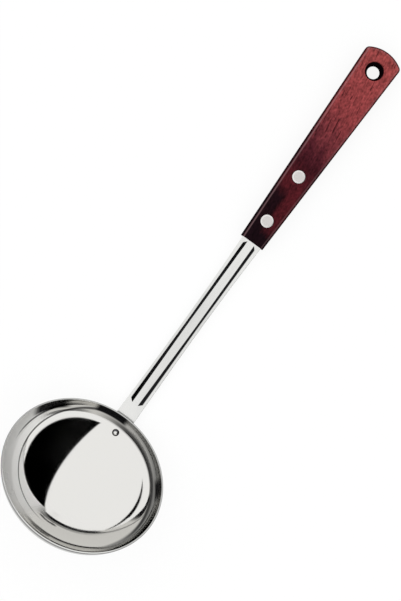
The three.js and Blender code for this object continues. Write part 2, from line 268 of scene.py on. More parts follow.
@dataclass(frozen=True)
class Wire:
    """One value of a shader graph, on which arithmetic adds Math nodes."""

    graph: ShaderGraph
    socket: bpy.types.NodeSocket

    def __add__(self, other: Wire | float) -> Wire:
        """Add a value."""
        return self.graph.maths("ADD", self, other)

    def __radd__(self, other: float) -> Wire:
        """Add to a number."""
        return self.graph.maths("ADD", other, self)

    def __sub__(self, other: Wire | float) -> Wire:
        """Take a value away."""
        return self.graph.maths("SUBTRACT", self, other)

    def __rsub__(self, other: float) -> Wire:
        """Take away from a number."""
        return self.graph.maths("SUBTRACT", other, self)

    def __mul__(self, other: Wire | float) -> Wire:
        """Multiply by a value."""
        return self.graph.maths("MULTIPLY", self, other)

    def __rmul__(self, other: float) -> Wire:
        """Multiply a number."""
        return self.graph.maths("MULTIPLY", other, self)

    def __truediv__(self, other: Wire | float) -> Wire:
        """Divide by a value."""
        return self.graph.maths("DIVIDE", self, other)

    def __pow__(self, other: Wire | float) -> Wire:
        """Raise to a power."""
        return self.graph.maths("POWER", self, other)

    def __abs__(self) -> Wire:
        """Drop the sign."""
        return self.graph.maths("ABSOLUTE", self)

    def least(self, other: Wire | float) -> Wire:
        """Return the smaller of two values."""
        return self.graph.maths("MINIMUM", self, other)

    def most(self, other: Wire | float) -> Wire:
        """Return the larger of two values."""
        return self.graph.maths("MAXIMUM", self, other)

    def eased(self, low: float, high: float) -> Wire:
        """Ease from 0 at the low value to 1 at the high one."""
        return self.graph.wire(
            "ShaderNodeMapRange",
            {"interpolation_type": "SMOOTHSTEP"},
            {"Value": self, "From Min": low, "From Max": high},
        )

    def band(self, middle: float, half: float) -> Wire:
        """Return 1 at a middle value, easing to 0 at half a width on either side."""
        return 1.0 - abs(self - middle).eased(0.0, half)


@dataclass(frozen=True)
class Grain:
    """Noise that is drawn out to a given size along three axes.

    `size` is the length of a typical spot along the grain, across it and through it, `detail` the
    octaves of finer noise, and `seed` a shift of the pattern, so that two grains differ.
    """

    size: Triple
    detail: float
    seed: float


class ShaderGraph:
    """Node tree of a material or of the world."""

    def __init__(self, owner: bpy.types.Material | bpy.types.World) -> None:
        """Start with an empty tree.

        Args:
            owner: What the tree belongs to.
        """
        owner.use_nodes = True
        self.tree = owner.node_tree
        self.tree.nodes.clear()

    def node(
        self, kind: str, settings: Mapping[str, Any], sockets: Mapping[str | int, Any]
    ) -> bpy.types.Node:
        """Add a node.

        Args:
            kind: Blender's type of the node.
            settings: Properties, set first; "stops" are a ramp's (place, colour) pairs.
            sockets: Number, colour, vector or Wire of each input, by name or place.

        Returns:
            The node.
        """
        made = self.tree.nodes.new(kind)
        for name, value in settings.items():
            if name == "stops":
                self._set_stops(made.color_ramp, value)
            else:
                setattr(made, name, value)
        for key, value in sockets.items():
            if isinstance(value, Wire):
                self.tree.links.new(value.socket, made.inputs[key])
            else:
                made.inputs[key].default_value = value
        return made

    @staticmethod
    def _set_stops(ramp: bpy.types.ColorRamp, stops: Sequence[tuple[float, Colour]]) -> None:
        """Give a ramp its stops.

        Args:
            ramp: A new ramp, with its two first stops.
            stops: Place and colour of each stop, in order.
        """
        while len(ramp.elements) < len(stops):
            ramp.elements.new(1.0)
        for element, (place, colour) in zip(ramp.elements, stops, strict=True):
            element.position = place
            element.color = colour

    def wire(
        self,
        kind: str,
        settings: Mapping[str, Any] | None = None,
        sockets: Mapping[str | int, Any] | None = None,
        output: str | int = 0,
    ) -> Wire:
        """Add a node and take one of its outputs.

        Args:
            kind: Blender's type of the node.
            settings: Properties of the node.
            sockets: Values or links of its inputs.
            output: Name or place of the output.

        Returns:
            That output.
        """
        return Wire(self, self.node(kind, settings or {}, sockets or {}).outputs[output])

    def maths(self, operation: str, *values: Wire | float) -> Wire:
        """Add a Math node on one or two values."""
        return self.wire("ShaderNodeMath", {"operation": operation}, dict(enumerate(values)))

    def place(self) -> Wire:
        """Take the object's own coordinates."""
        return self.wire("ShaderNodeTexCoord", output="Object")

    def parts(self, vector: Wire) -> tuple[Wire, Wire, Wire]:
        """Split a vector into its x, y and z."""
        outputs = self.node("ShaderNodeSeparateXYZ", {}, {"Vector": vector}).outputs
        return Wire(self, outputs[0]), Wire(self, outputs[1]), Wire(self, outputs[2])

    def along(self, vector: Wire, facing: Triple) -> Wire:
        """Measure a vector along a direction."""
        settings = {"operation": "DOT_PRODUCT"}
        return self.wire("ShaderNodeVectorMath", settings, {0: vector, 1: facing}, output="Value")

    def mark(self, mark: Mark) -> Wire:
        """Read a number that the mesh carries."""
        return self.wire("ShaderNodeAttribute", {"attribute_name": mark.value}, output="Fac")

    def rings(self, pitch: float) -> Wire:
        """Lay noise over the distance from the axis that the mesh carries, divided by a pitch."""
        sockets = {"W": self.mark(Mark.RADIUS) / pitch, "Detail": 2.0}
        return self.wire("ShaderNodeTexNoise", {"noise_dimensions": "1D"}, sockets)

    def grain(self, grain: Grain, turn: float = 0.0) -> Wire:
        """Lay a grain over the object's own coordinates.

        Args:
            grain: Size, detail and seed of the noise.
            turn: Turn of the grain about Z.

        Returns:
            The noise, about 0.5 in the middle.
        """
        laid = self.wire(
            "ShaderNodeMapping",
            {"vector_type": "TEXTURE"},
            {"Vector": self.place(), "Rotation": (0.0, 0.0, turn), "Scale": grain.size},
        )
        return self.wire(
            "ShaderNodeTexNoise",
            {"noise_dimensions": "4D"},
            {"Vector": laid, "W": grain.seed, "Scale": 1.0, "Detail": grain.detail},
        )

    def ramp(self, value: Wire, stops: Sequence[tuple[float, Colour]]) -> Wire:
        """Turn a value into a colour by stops."""
        return self.wire("ShaderNodeValToRGB", {"stops": stops}, {"Fac": value})

    def mixed(self, share: Wire | float, first: Wire | Colour, second: Wire | Colour) -> Wire:
        """Mix two colours, the second one by the share."""
        sockets = {0: share, 6: first, 7: second}
        return self.wire("ShaderNodeMix", {"data_type": "RGBA"}, sockets, output=2)

    def shaded(self, colour: Wire | Triple, light: Wire) -> Wire:
        """Scale a colour by a value."""
        sockets = {0: colour, "Scale": light}
        return self.wire("ShaderNodeVectorMath", {"operation": "SCALE"}, sockets)

    def bumped(self, height: Wire, distance: float) -> Wire:
        """Turn a height of 0 to 1 into a normal, for a relief of a given depth in metres."""
        return self.wire("ShaderNodeBump", {}, {"Height": height, "Distance": distance})

    def surface(self, sockets: Mapping[str, Any]) -> None:
        """End a material in one Principled shader.

        Args:
            sockets: Values or links of the shader's inputs.
        """
        shader = self.wire("ShaderNodeBsdfPrincipled", {}, sockets)
        self.node("ShaderNodeOutputMaterial", {}, {"Surface": shader})


@dataclass(frozen=True)
class Finish(ABC):
    """A finish of the ladle: a named material."""

    name: str

    @abstractmethod
    def paint(self, graph: ShaderGraph) -> None:
        """Fill the material's node tree."""

    def material(self) -> bpy.types.Material:
        """Make the material.

        Returns:
            A new material with this finish.
        """
        made = bpy.data.materials.new(self.name)
        self.paint(ShaderGraph(made))
        return made


@dataclass(frozen=True)
class MirrorSteel(Finish):
    """Stainless steel polished to a mirror, with faint rings left by the polishing wheel."""

    colour: Colour
    gloss: float = 0.035
    haze: float = 0.035
    cloud: Grain = Grain((0.018, 0.018, 0.018), 3.0, 1.7)
    cloud_range: Range = (0.35, 0.75)
    ring_pitch: float = 0.0009
    ring_roughness: float = 0.01
    satin_roughness: float = 0.3
    relief: float = 0.0000006

    def tint(self, graph: ShaderGraph) -> Wire | Colour:
        """Return the steel's colour."""
        return self.colour

    def satin(self, graph: ShaderGraph) -> Wire | float:
        """Return how far the polish gives way to a satin finish, 0 to 1."""
        return 0.0

    def paint(self, graph: ShaderGraph) -> None:
        """Haze and rings come from noise over the place and over the distance from the axis."""
        rings = graph.rings(self.ring_pitch)
        satin = self.satin(graph)
        hazy = self.haze * graph.grain(self.cloud).eased(*self.cloud_range)
        rough = self.gloss + hazy + self.ring_roughness * rings + self.satin_roughness * satin
        graph.surface(
            {
                "Base Color": self.tint(graph),
                "Metallic": 1.0 - satin,
                "Roughness": rough,
                "Normal": graph.bumped(rings, self.relief),
            }
        )


@dataclass(frozen=True)
class Patch:
    """A patch of the bowl's inside, by its turn from the handle's side and its radius.

    The patch begins at `inner` + `lean` times the cosine of the turn and is `width` wide. Its
    ends fade over `turn_softness` and its sides over `softness`, to each side.
    """

    turn: float
    half_turn: float
    inner: float
    lean: float = 0.0
    turn_softness: float = 0.08
    softness: float = 0.0004
    width: float = 0.1

    def share(self, graph: ShaderGraph) -> Wire:
        """Return 1 within the patch and 0 outside it."""
        towards, aside = graph.mark(Mark.TOWARDS), graph.mark(Mark.ASIDE)
        facing = math.cos(self.turn) * towards + math.sin(self.turn) * aside
        low, high = self.half_turn + self.turn_softness, self.half_turn - self.turn_softness
        past = graph.mark(Mark.RADIUS) - self.lean * towards
        start = past.eased(self.inner - self.softness, self.inner + self.softness)
        outer = self.inner + self.width
        end = 1.0 - past.eased(outer - self.softness, outer + self.softness)
        return start * end * facing.eased(math.cos(low), math.cos(high))


@dataclass(frozen=True, kw_only=True)
class BowlSteel(MirrorSteel):
    """Mirror steel with painted reflections near the rim and painted shade on the plain cut edge.
    """

    # Colours of the reflections painted on the wall near the rim, and of the painted shade on the
    # cut edge.
    painted_bright_reflection_colour: Colour
    dull_and_painted_reflection_colour: Colour
    painted_dark_reflection_colour: Colour
    painted_line_reflection_colour: Colour
    # Painted shade on the cut edge and its outline, lighter at the tip.
    painted_edge_shade_colour: Colour
    painted_tip_edge_shade_colour: Colour
    painted_outline_shade_colour: Colour
    edge_start: float = 0.04655
    outline_start: float = 0.04725
    edge_softness: float = 0.0001
    grey_polish: float = 0.25
    line_share: float = 0.9
    # Where the painted reflections lie: bright ones over satin, grey ones, dark lines and dark
    # patches.
    satin_and_painted_light_patches: tuple[Patch, Patch] = (
        Patch(math.radians(106.0), math.radians(46.0), 0.0365, 0.01, 0.16),
        Patch(math.radians(122.0), math.radians(32.0), 0.034, 0.0178, 0.24),
    )
    grey_patch: Patch = Patch(math.radians(106.0), math.radians(90.0), 0.0405, 0.0076, 0.16, 0.0005)
    painted_grey_reflection_patch: Patch = Patch(math.radians(-62.0), math.radians(66.0), 0.0415, 0.0042, 0.2, 0.001)
    tip_patch: Patch = Patch(math.radians(180.0), math.radians(52.0), 0.04, turn_softness=0.2)
    lines: tuple[Patch, ...] = (
        Patch(math.radians(84.0), math.radians(76.0), 0.0358, 0.01, 0.3, 0.00025, 0.0007),
        Patch(math.radians(66.0), math.radians(16.0), 0.042, 0.0042, 0.2, 0.0002, 0.0006),
        Patch(math.radians(-48.0), math.radians(54.0), 0.0416, 0.0022, 0.3, 0.0005, 0.0014),
    )
    painted_dark_reflection_patches: tuple[Patch, ...] = (
        Patch(math.radians(8.0), math.radians(12.0), 0.0453, 0.0, 0.04, 0.0002),
        Patch(math.radians(54.0), math.radians(13.0), 0.0446),
        Patch(math.radians(-60.0), math.radians(6.0), 0.0447),
    )

    def tint(self, graph: ShaderGraph) -> Wire | Colour:
        """Lay the painted bright, grey and dark reflections and the painted lines over the steel's
        colour, then the edge's painted shade.
        """
        # Painted reflections: bright over the satin, grey, dark lines and dark patches.
        tint = graph.mixed(self.satin_and_painted_light_share(graph), self.colour, self.painted_bright_reflection_colour)
        tint = graph.mixed(self.painted_grey_reflection_patch.share(graph), tint, self.dull_and_painted_reflection_colour)
        for line in self.lines:
            tint = graph.mixed(self.line_share * line.share(graph), tint, self.painted_line_reflection_colour)
        for patch in self.painted_dark_reflection_patches:
            tint = graph.mixed(patch.share(graph), tint, self.painted_dark_reflection_colour)
        # Painted shade on the cut edge and its outline, lighter at the tip.
        tip = self.tip_patch.share(graph)
        painted_edge_shade_colour = graph.mixed(tip, self.painted_edge_shade_colour, self.painted_tip_edge_shade_colour)
        tint = graph.mixed(self.beyond(graph, self.edge_start), tint, painted_edge_shade_colour)
        return graph.mixed(self.beyond(graph, self.outline_start), tint, self.painted_outline_shade_colour)

    def satin(self, graph: ShaderGraph) -> Wire | float:
        """Return the share of the satin patches, whose outer part keeps some of the polish."""
        return self.satin_and_painted_light_share(graph) * (1.0 - self.grey_polish * self.grey_patch.share(graph))

    def satin_and_painted_light_share(self, graph: ShaderGraph) -> Wire:
        """Return 1 within the satin patches, which also carry a painted bright reflection, and 0
        outside them.
        """
        first, second = (patch.share(graph) for patch in self.satin_and_painted_light_patches)
        return first.most(second)

    def beyond(self, graph: ShaderGraph, start: float) -> Wire:
        """Return 1 beyond a radius and 0 within it."""
        low, high = start - self.edge_softness, start + self.edge_softness
        return graph.mark(Mark.RADIUS).eased(low, high)


@dataclass(frozen=True, kw_only=True)
class DomeSteel(MirrorSteel):
    """Mirror steel with painted shade that darkens it towards the dome's foot."""

    painted_foot_shade_colour: Colour
    foot_range: Range = (0.0007, 0.0014)

    def tint(self, graph: ShaderGraph) -> Wire | Colour:
        """Mix the foot's painted shade in with the distance from the axis."""
        foot = graph.mark(Mark.RADIUS).eased(*self.foot_range)
        return graph.mixed(foot, self.colour, self.painted_foot_shade_colour)


@dataclass(frozen=True)
class StripSteel(Finish):
    """Stamped strip, bright-rolled, with fine lines along its length."""

    colour: Colour
    dull_and_painted_reflection_colour: Colour
    # Painted dark reflection on the channel's flanks.
    painted_flank_reflection_colour: Colour
    lines: Grain = Grain((0.03, 0.00022, 0.0006), 3.0, 4.1)
    cloud: Grain = Grain((0.022, 0.006, 0.01), 2.0, 9.3)
    cloud_range: Range = (0.4, 0.7)
    cloud_share: float = 0.4
    # A darker band half-way along: a painted reflection.
    painted_reflection_band_middle: float = -0.03
    painted_reflection_band_half: float = 0.075
    painted_reflection_band_share: float = 0.6
    flank_range: Range = (0.2, 0.6)
    gloss: float = 0.12
    line_roughness: float = 0.07
    cloud_roughness: float = 0.05
    line_relief: float = 0.000002

    def paint(self, graph: ShaderGraph) -> None:
        """Lines and dull patches are noise along X; painted reflections darken the flanks and the
        middle.
        """
        lines, cloud = graph.grain(self.lines), graph.grain(self.cloud)
        # A darker band half-way along, painted in as reflection, over random dull patches.
        half_way = graph.parts(graph.place())[0].band(self.painted_reflection_band_middle, self.painted_reflection_band_half)
        cloudy = self.cloud_share * cloud.eased(*self.cloud_range)
        plain = graph.mixed(cloudy + self.painted_reflection_band_share * half_way, self.colour, self.dull_and_painted_reflection_colour)
        # The channel's flanks get a painted dark reflection.
        flank = graph.mark(Mark.FLANK).eased(*self.flank_range)
        rough = self.gloss + self.line_roughness * lines + self.cloud_roughness * cloud
        graph.surface(
            {
                "Base Color": graph.mixed(flank, plain, self.painted_flank_reflection_colour),
                "Metallic": 1.0,
                "Roughness": rough,
                "Normal": graph.bumped(lines, self.line_relief),
            }
        )


@dataclass(frozen=True)
class SatinAluminium(Finish):
    """Rivet ends ground flush: satin, with turned rings and a burnished border, painted lighter as
    a highlight.
    """

    colour: Colour
    border_highlight_colour: Colour
    border_range: Range
    scratches: Grain = Grain((0.002, 0.00025, 0.002), 2.0, 2.2)
    scratch_turn: float = 0.6
    ring_pitch: float = 0.00028
    ring_share: float = 0.6
    face_roughness: float = 0.42
    border_polish: float = 0.14
    scratch_roughness: float = 0.1
    relief: float = 0.000004

    def paint(self, graph: ShaderGraph) -> None:
        """Rings are noise over the distance from the axis, scratches noise over the place."""
        border = graph.mark(Mark.RADIUS).eased(*self.border_range)
        rings = graph.rings(self.ring_pitch)
        scratches = graph.grain(self.scratches, self.scratch_turn)
        rough = self.face_roughness - self.border_polish * border
        relief = self.ring_share * rings + (1.0 - self.ring_share) * scratches
        graph.surface(
            {
                # The border is polished and painted lighter as a highlight.
                "Base Color": graph.mixed(border, self.colour, self.border_highlight_colour),
                "Metallic": 1.0,
                "Roughness": rough + self.scratch_roughness * scratches,
                "Normal": graph.bumped(relief, self.relief),
            }
        )


@dataclass(frozen=True)
class BowlForm:
    """Sizes of the drawn bowl, with its rim in the plane z = 0 and its axis on Z."""

    rim_radius: float = 0.047485
    depth: float = 0.029
    wall_radius: float = 0.018
    outer_rim_slope: float = math.radians(84.0)
    sheet: float = 0.001
    rim_edge_round: float = 0.0002
    rivet_below_join: float = 0.00085
    blend: float = 0.005
    summing_steps: int = 40

    @cached_property
    def wall_centre(self) -> Array:
        """Middle of the wall's arc, as (x, z): the outside leaves the rim at the rim's slope."""
        outer = self.wall_radius + self.sheet
        inward = np.array([-math.sin(self.outer_rim_slope), math.cos(self.outer_rim_slope)])
        return np.array([self.rim_radius, 0.0]) + outer * inward

    @cached_property
    def bottom_radius(self) -> float:
        """Radius of the bottom's arc, which reaches the depth and runs on into the wall's."""
        across, height = self.wall_centre[0], self.wall_centre[1] + self.depth
        over = across**2 + height**2 - self.wall_radius**2
        return float(over / (2.0 * (height - self.wall_radius)))

    @cached_property
    def bottom_centre(self) -> Array:
        """Middle of the bottom's arc, as (x, z)."""
        return np.array([0.0, self.bottom_radius - self.depth])

    @cached_property
    def join_slope(self) -> float:
        """Slope where the bottom's arc meets the wall's."""
        rise = self.bottom_centre[1] - self.wall_centre[1]
        return math.atan2(self.wall_centre[0], rise)

    @cached_property
    def rim_slope(self) -> float:
        """Slope of the middle of the sheet at the rim."""
        return math.acos(self.wall_centre[1] / (self.wall_radius + self.sheet / 2.0))

    def inside(self, steps: int) -> tuple[Array, Array]:
        """Draw the inside from the middle to the rim, with the bend eased in where the arcs meet.

        The bend 1/radius eases from the bottom's to the wall's over a length centred on the join.
        The slope is its running sum, and the place is the running sum of (cos slope, sin slope),
        moved and stretched by a hair to end where the two plain arcs end.

        Args:
            steps: Number of steps along the profile.

        Returns:
            (radius, height) of each point, and the slope there.
        """
        join = self.bottom_radius * self.join_slope
        whole = join + self.wall_radius * (self.rim_slope - self.join_slope)
        along = np.linspace(0.0, whole, self.summing_steps * steps + 1)
        share = eased((along - join) / self.blend + 0.5)
        bend = (1.0 - share) / self.bottom_radius + share / self.wall_radius
        turns = np.concatenate([[0.0], np.cumsum(0.5 * (bend[1:] + bend[:-1]))])
        slope = turns * (along[1] - along[0])
        ahead = np.stack([np.cos(slope), np.sin(slope)], axis=-1)
        run = np.concatenate([[[0.0, 0.0]], np.cumsum(0.5 * (ahead[1:] + ahead[:-1]), axis=0)])
        end = on_arc(self.wall_centre, self.wall_radius, np.array(self.rim_slope))
        reach = np.array([end[0], end[1] + self.depth])
        places = run * (reach / run[-1]) - np.array([0.0, self.depth])
        return places[:: self.summing_steps], slope[:: self.summing_steps]

    @cached_property
    def rivet_slope(self) -> float:
        """Slope of the bottom's inside at the rivet."""
        return self.join_slope - self.rivet_below_join / self.bottom_radius

    @cached_property
    def rivet_place(self) -> Array:
        """Where the rivet's axis meets the bowl's inside, as (x, z)."""
        return on_arc(self.bottom_centre, self.bottom_radius, np.array(self.rivet_slope))


@dataclass(frozen=True)
class StripForm:
    """Sizes of the stamped strip and the path that its middle surface follows."""

    bowl: BowlForm
    rise: float = math.radians(36.1)
    length: float = 0.1258
    thickness: float = 0.0018
    width_at_bowl: float = 0.012
    width_at_waist: float = 0.0106
    width_at_handle: float = 0.0126
    waist_place: float = 0.063
    bend_radius: float = 0.018
    foot_below_rivet: float = 0.006
    foot_above_rivet: float = 0.003
    foot_corner_radius: float = 0.0045
    tang_width: float = 0.011
    tang_length: float = 0.056
    tang_shoulder: float = 0.003
    fit_gap: float = 0.0003

    @cached_property
    def foot_radius(self) -> float:
        """Radius of the foot's middle surface round the bowl's bottom."""
        return self.bowl.bottom_radius + self.bowl.sheet + self.fit_gap + self.thickness / 2.0

    @cached_property
    def foot_length(self) -> float:
        """Length of the foot along the bowl."""
        return self.foot_below_rivet + self.foot_above_rivet

    @cached_property
    def foot_slopes(self) -> tuple[float, float]:
        """Slope of the foot at its free end and where the bend starts."""
        slope = self.bowl.rivet_slope
        low = slope - self.foot_below_rivet / self.foot_radius
        return low, slope + self.foot_above_rivet / self.foot_radius

    @cached_property
    def bend_centre(self) -> Array:
        """Middle of the bend's arc, as (x, z)."""
        slope = self.foot_slopes[1]
        end = on_arc(self.bowl.bottom_centre, self.foot_radius, np.array(slope))
        return end + self.bend_radius * np.array([math.sin(slope), -math.cos(slope)])

    @cached_property
    def straight_start(self) -> float:
        """Length along the strip at which the straight part starts."""
        return self.foot_length + self.bend_radius * (self.foot_slopes[1] - self.rise)

    @cached_property
    def tang_start(self) -> float:
        """Length along the strip at which the handle starts."""
        return self.straight_start + self.length

    @cached_property
    def origin(self) -> Array:
        """Start of the straight part, as (x, z)."""
        aside = np.array([-math.sin(self.rise), math.cos(self.rise)])
        return self.bend_centre + self.bend_radius * aside

    def carry(self, skin: Skin, place: float = 0.0) -> Skin:
        """Move a surface from a place along the handle into the bowl's frame."""
        return skin.moved((self.length + place, 0.0, 0.0)).place(-self.rise, self.origin)

    def path(self, along: Array) -> tuple[Array, Array]:
        """Follow the strip's middle surface: an arc on the bowl, a bend back, a straight line.

        Args:
            along: Lengths from the foot's free end.

        Returns:
            (x, z) of each point, and the slope there.
        """
        foot_slope = self.foot_slopes[0] + along / self.foot_radius
        bend_slope = self.foot_slopes[1] - (along - self.foot_length) / self.bend_radius
        on_foot = along <= self.foot_length
        on_bend = (~on_foot) & (along <= self.straight_start)
        slope = np.where(on_foot, foot_slope, np.where(on_bend, bend_slope, self.rise))
        foot = on_arc(self.bowl.bottom_centre, self.foot_radius, slope)
        bend = on_arc(self.bend_centre, -self.bend_radius, slope)
        run = (along - self.straight_start)[:, None]
        straight = self.origin + run * np.array([math.cos(self.rise), math.sin(self.rise)])
        places = np.where(on_foot[:, None], foot, np.where(on_bend[:, None], bend, straight))
        return places, slope

    def half_width(self, along: Array) -> Array:
        """Half of the strip's width: rounded foot, waist, shoulder and tang.

        The waist is two parabolas that meet level; two quarter circles trim the foot's end.

        Args:
            along: Lengths from the foot's free end.

        Returns:
            Half of the width at each length.
        """
        waist = self.straight_start + self.waist_place
        to_waist = np.clip((along - self.straight_start) / self.waist_place, 0.0, 1.0)
        to_handle = np.clip((along - waist) / (self.tang_start - waist), 0.0, 1.0)
        on_tang = np.clip((along - self.tang_start) / self.tang_shoulder, 0.0, 1.0)
        at_bowl = (self.width_at_bowl - self.width_at_waist) * (1.0 - to_waist) ** 2
        at_handle = (self.width_at_handle - self.width_at_waist) * to_handle**2
        at_tang = (self.tang_width - self.width_at_handle) * on_tang
        width = self.width_at_waist + at_bowl + at_handle + at_tang
        corner = self.foot_corner_radius
        inside = np.clip(corner - along, 0.0, corner)
        return width / 2.0 - corner + np.sqrt(corner**2 - inside**2)


@dataclass(frozen=True)
class HandleForm:
    """Sizes of the handle, whose own frame has x from the shank's end and z out of its front."""

    length: float = 0.1329
    width_at_shank: float = 0.015
    width_at_end: float = 0.0239
    thickness: float = 0.012
    edge_round: float = 0.002
    crown_radius: float = 0.0198
    corner_radius: float = 0.0028
    kerf_end_room: float = 0.004
    hole_from_end: float = 0.0132
    hole_radius: float = 0.0037
    hole_mouth_radius: float = 0.0056
    hole_throat: float = 0.002
    hole_throat_drop: float = 0.0035
    rivet_places: tuple[float, float] = (0.0147, 0.0457)
    rivet_radius: float = 0.0026
    rivet_head_radius: float = 0.0037
    rivet_head_depth: float = 0.0016

    @cached_property
    def taper(self) -> float:
        """Angle of each long edge to the middle line."""
        return math.atan2((self.width_at_end - self.width_at_shank) / 2.0, self.length)

    @cached_property
    def crown_centre(self) -> float:
        """Where the middle of the crowned end's arc lies along the handle."""
        return self.length - self.crown_radius

    @cached_property
    def hole_place(self) -> float:
        """Where the hanging hole's axis lies along the handle."""
        return self.length - self.hole_from_end

    @cached_property
    def corner_centre(self) -> Array:
        """Middle of the small arc between a long edge and the crown, on the +y side."""
        edge = np.array([math.cos(self.taper), math.sin(self.taper)])
        outward = np.array([-edge[1], edge[0]])
        start = np.array([0.0, self.width_at_shank / 2.0]) - outward * self.corner_radius
        from_crown = start - np.array([self.crown_centre, 0.0])
        along = float(from_crown @ edge)
        reach = self.crown_radius - self.corner_radius
        travel = -along + math.sqrt(along**2 - float(from_crown @ from_crown) + reach**2)
        return start + edge * travel

    def outline(self, insets: Array, edge_steps: int, arc_steps: int) -> Array:
        """Outline of the handle, drawn in by an inset: edge, corner, crown, corner, edge.

        The long edges shift inwards and each arc keeps its middle and loses the inset from its
        radius. The outline runs from the -y side round the crown to the +y side.

        Args:
            insets: Distance inside the true outline, one for each row.
            edge_steps: Points on each long edge.
            arc_steps: Steps on each corner; the crown has four times as many.

        Returns:
            (x, y) for each row and each point of the outline.
        """
        corner = self.corner_centre
        edge_angle = self.taper + math.pi / 2.0
        crown_angle = math.atan2(corner[1], corner[0] - self.crown_centre)
        inset = insets[:, None]
        corner_turn = np.linspace(edge_angle, crown_angle, arc_steps, endpoint=False)
        corner_x = corner[0] + (self.corner_radius - inset) * np.cos(corner_turn)
        corner_y = corner[1] + (self.corner_radius - inset) * np.sin(corner_turn)
        crown_turn = np.linspace(crown_angle, -crown_angle, 4 * arc_steps + 1)
        crown_x = self.crown_centre + (self.crown_radius - inset) * np.cos(crown_turn)
        crown_y = (self.crown_radius - inset) * np.sin(crown_turn)
        share = np.linspace(0.0, 1.0, edge_steps, endpoint=False)
        start_y = self.width_at_shank / 2.0 - inset / math.cos(self.taper)
        edge_x = share * corner_x[:, :1]
        edge_y = start_y + share * (corner_y[:, :1] - start_y)
        upper_x = np.concatenate([edge_x, corner_x], axis=1)
        upper_y = np.concatenate([edge_y, corner_y], axis=1)
        x = np.concatenate([upper_x, crown_x, upper_x[:, ::-1]], axis=1)
        y = np.concatenate([upper_y, crown_y, -upper_y[:, ::-1]], axis=1)
        return np.stack([x, y], axis=-1)[:, ::-1]


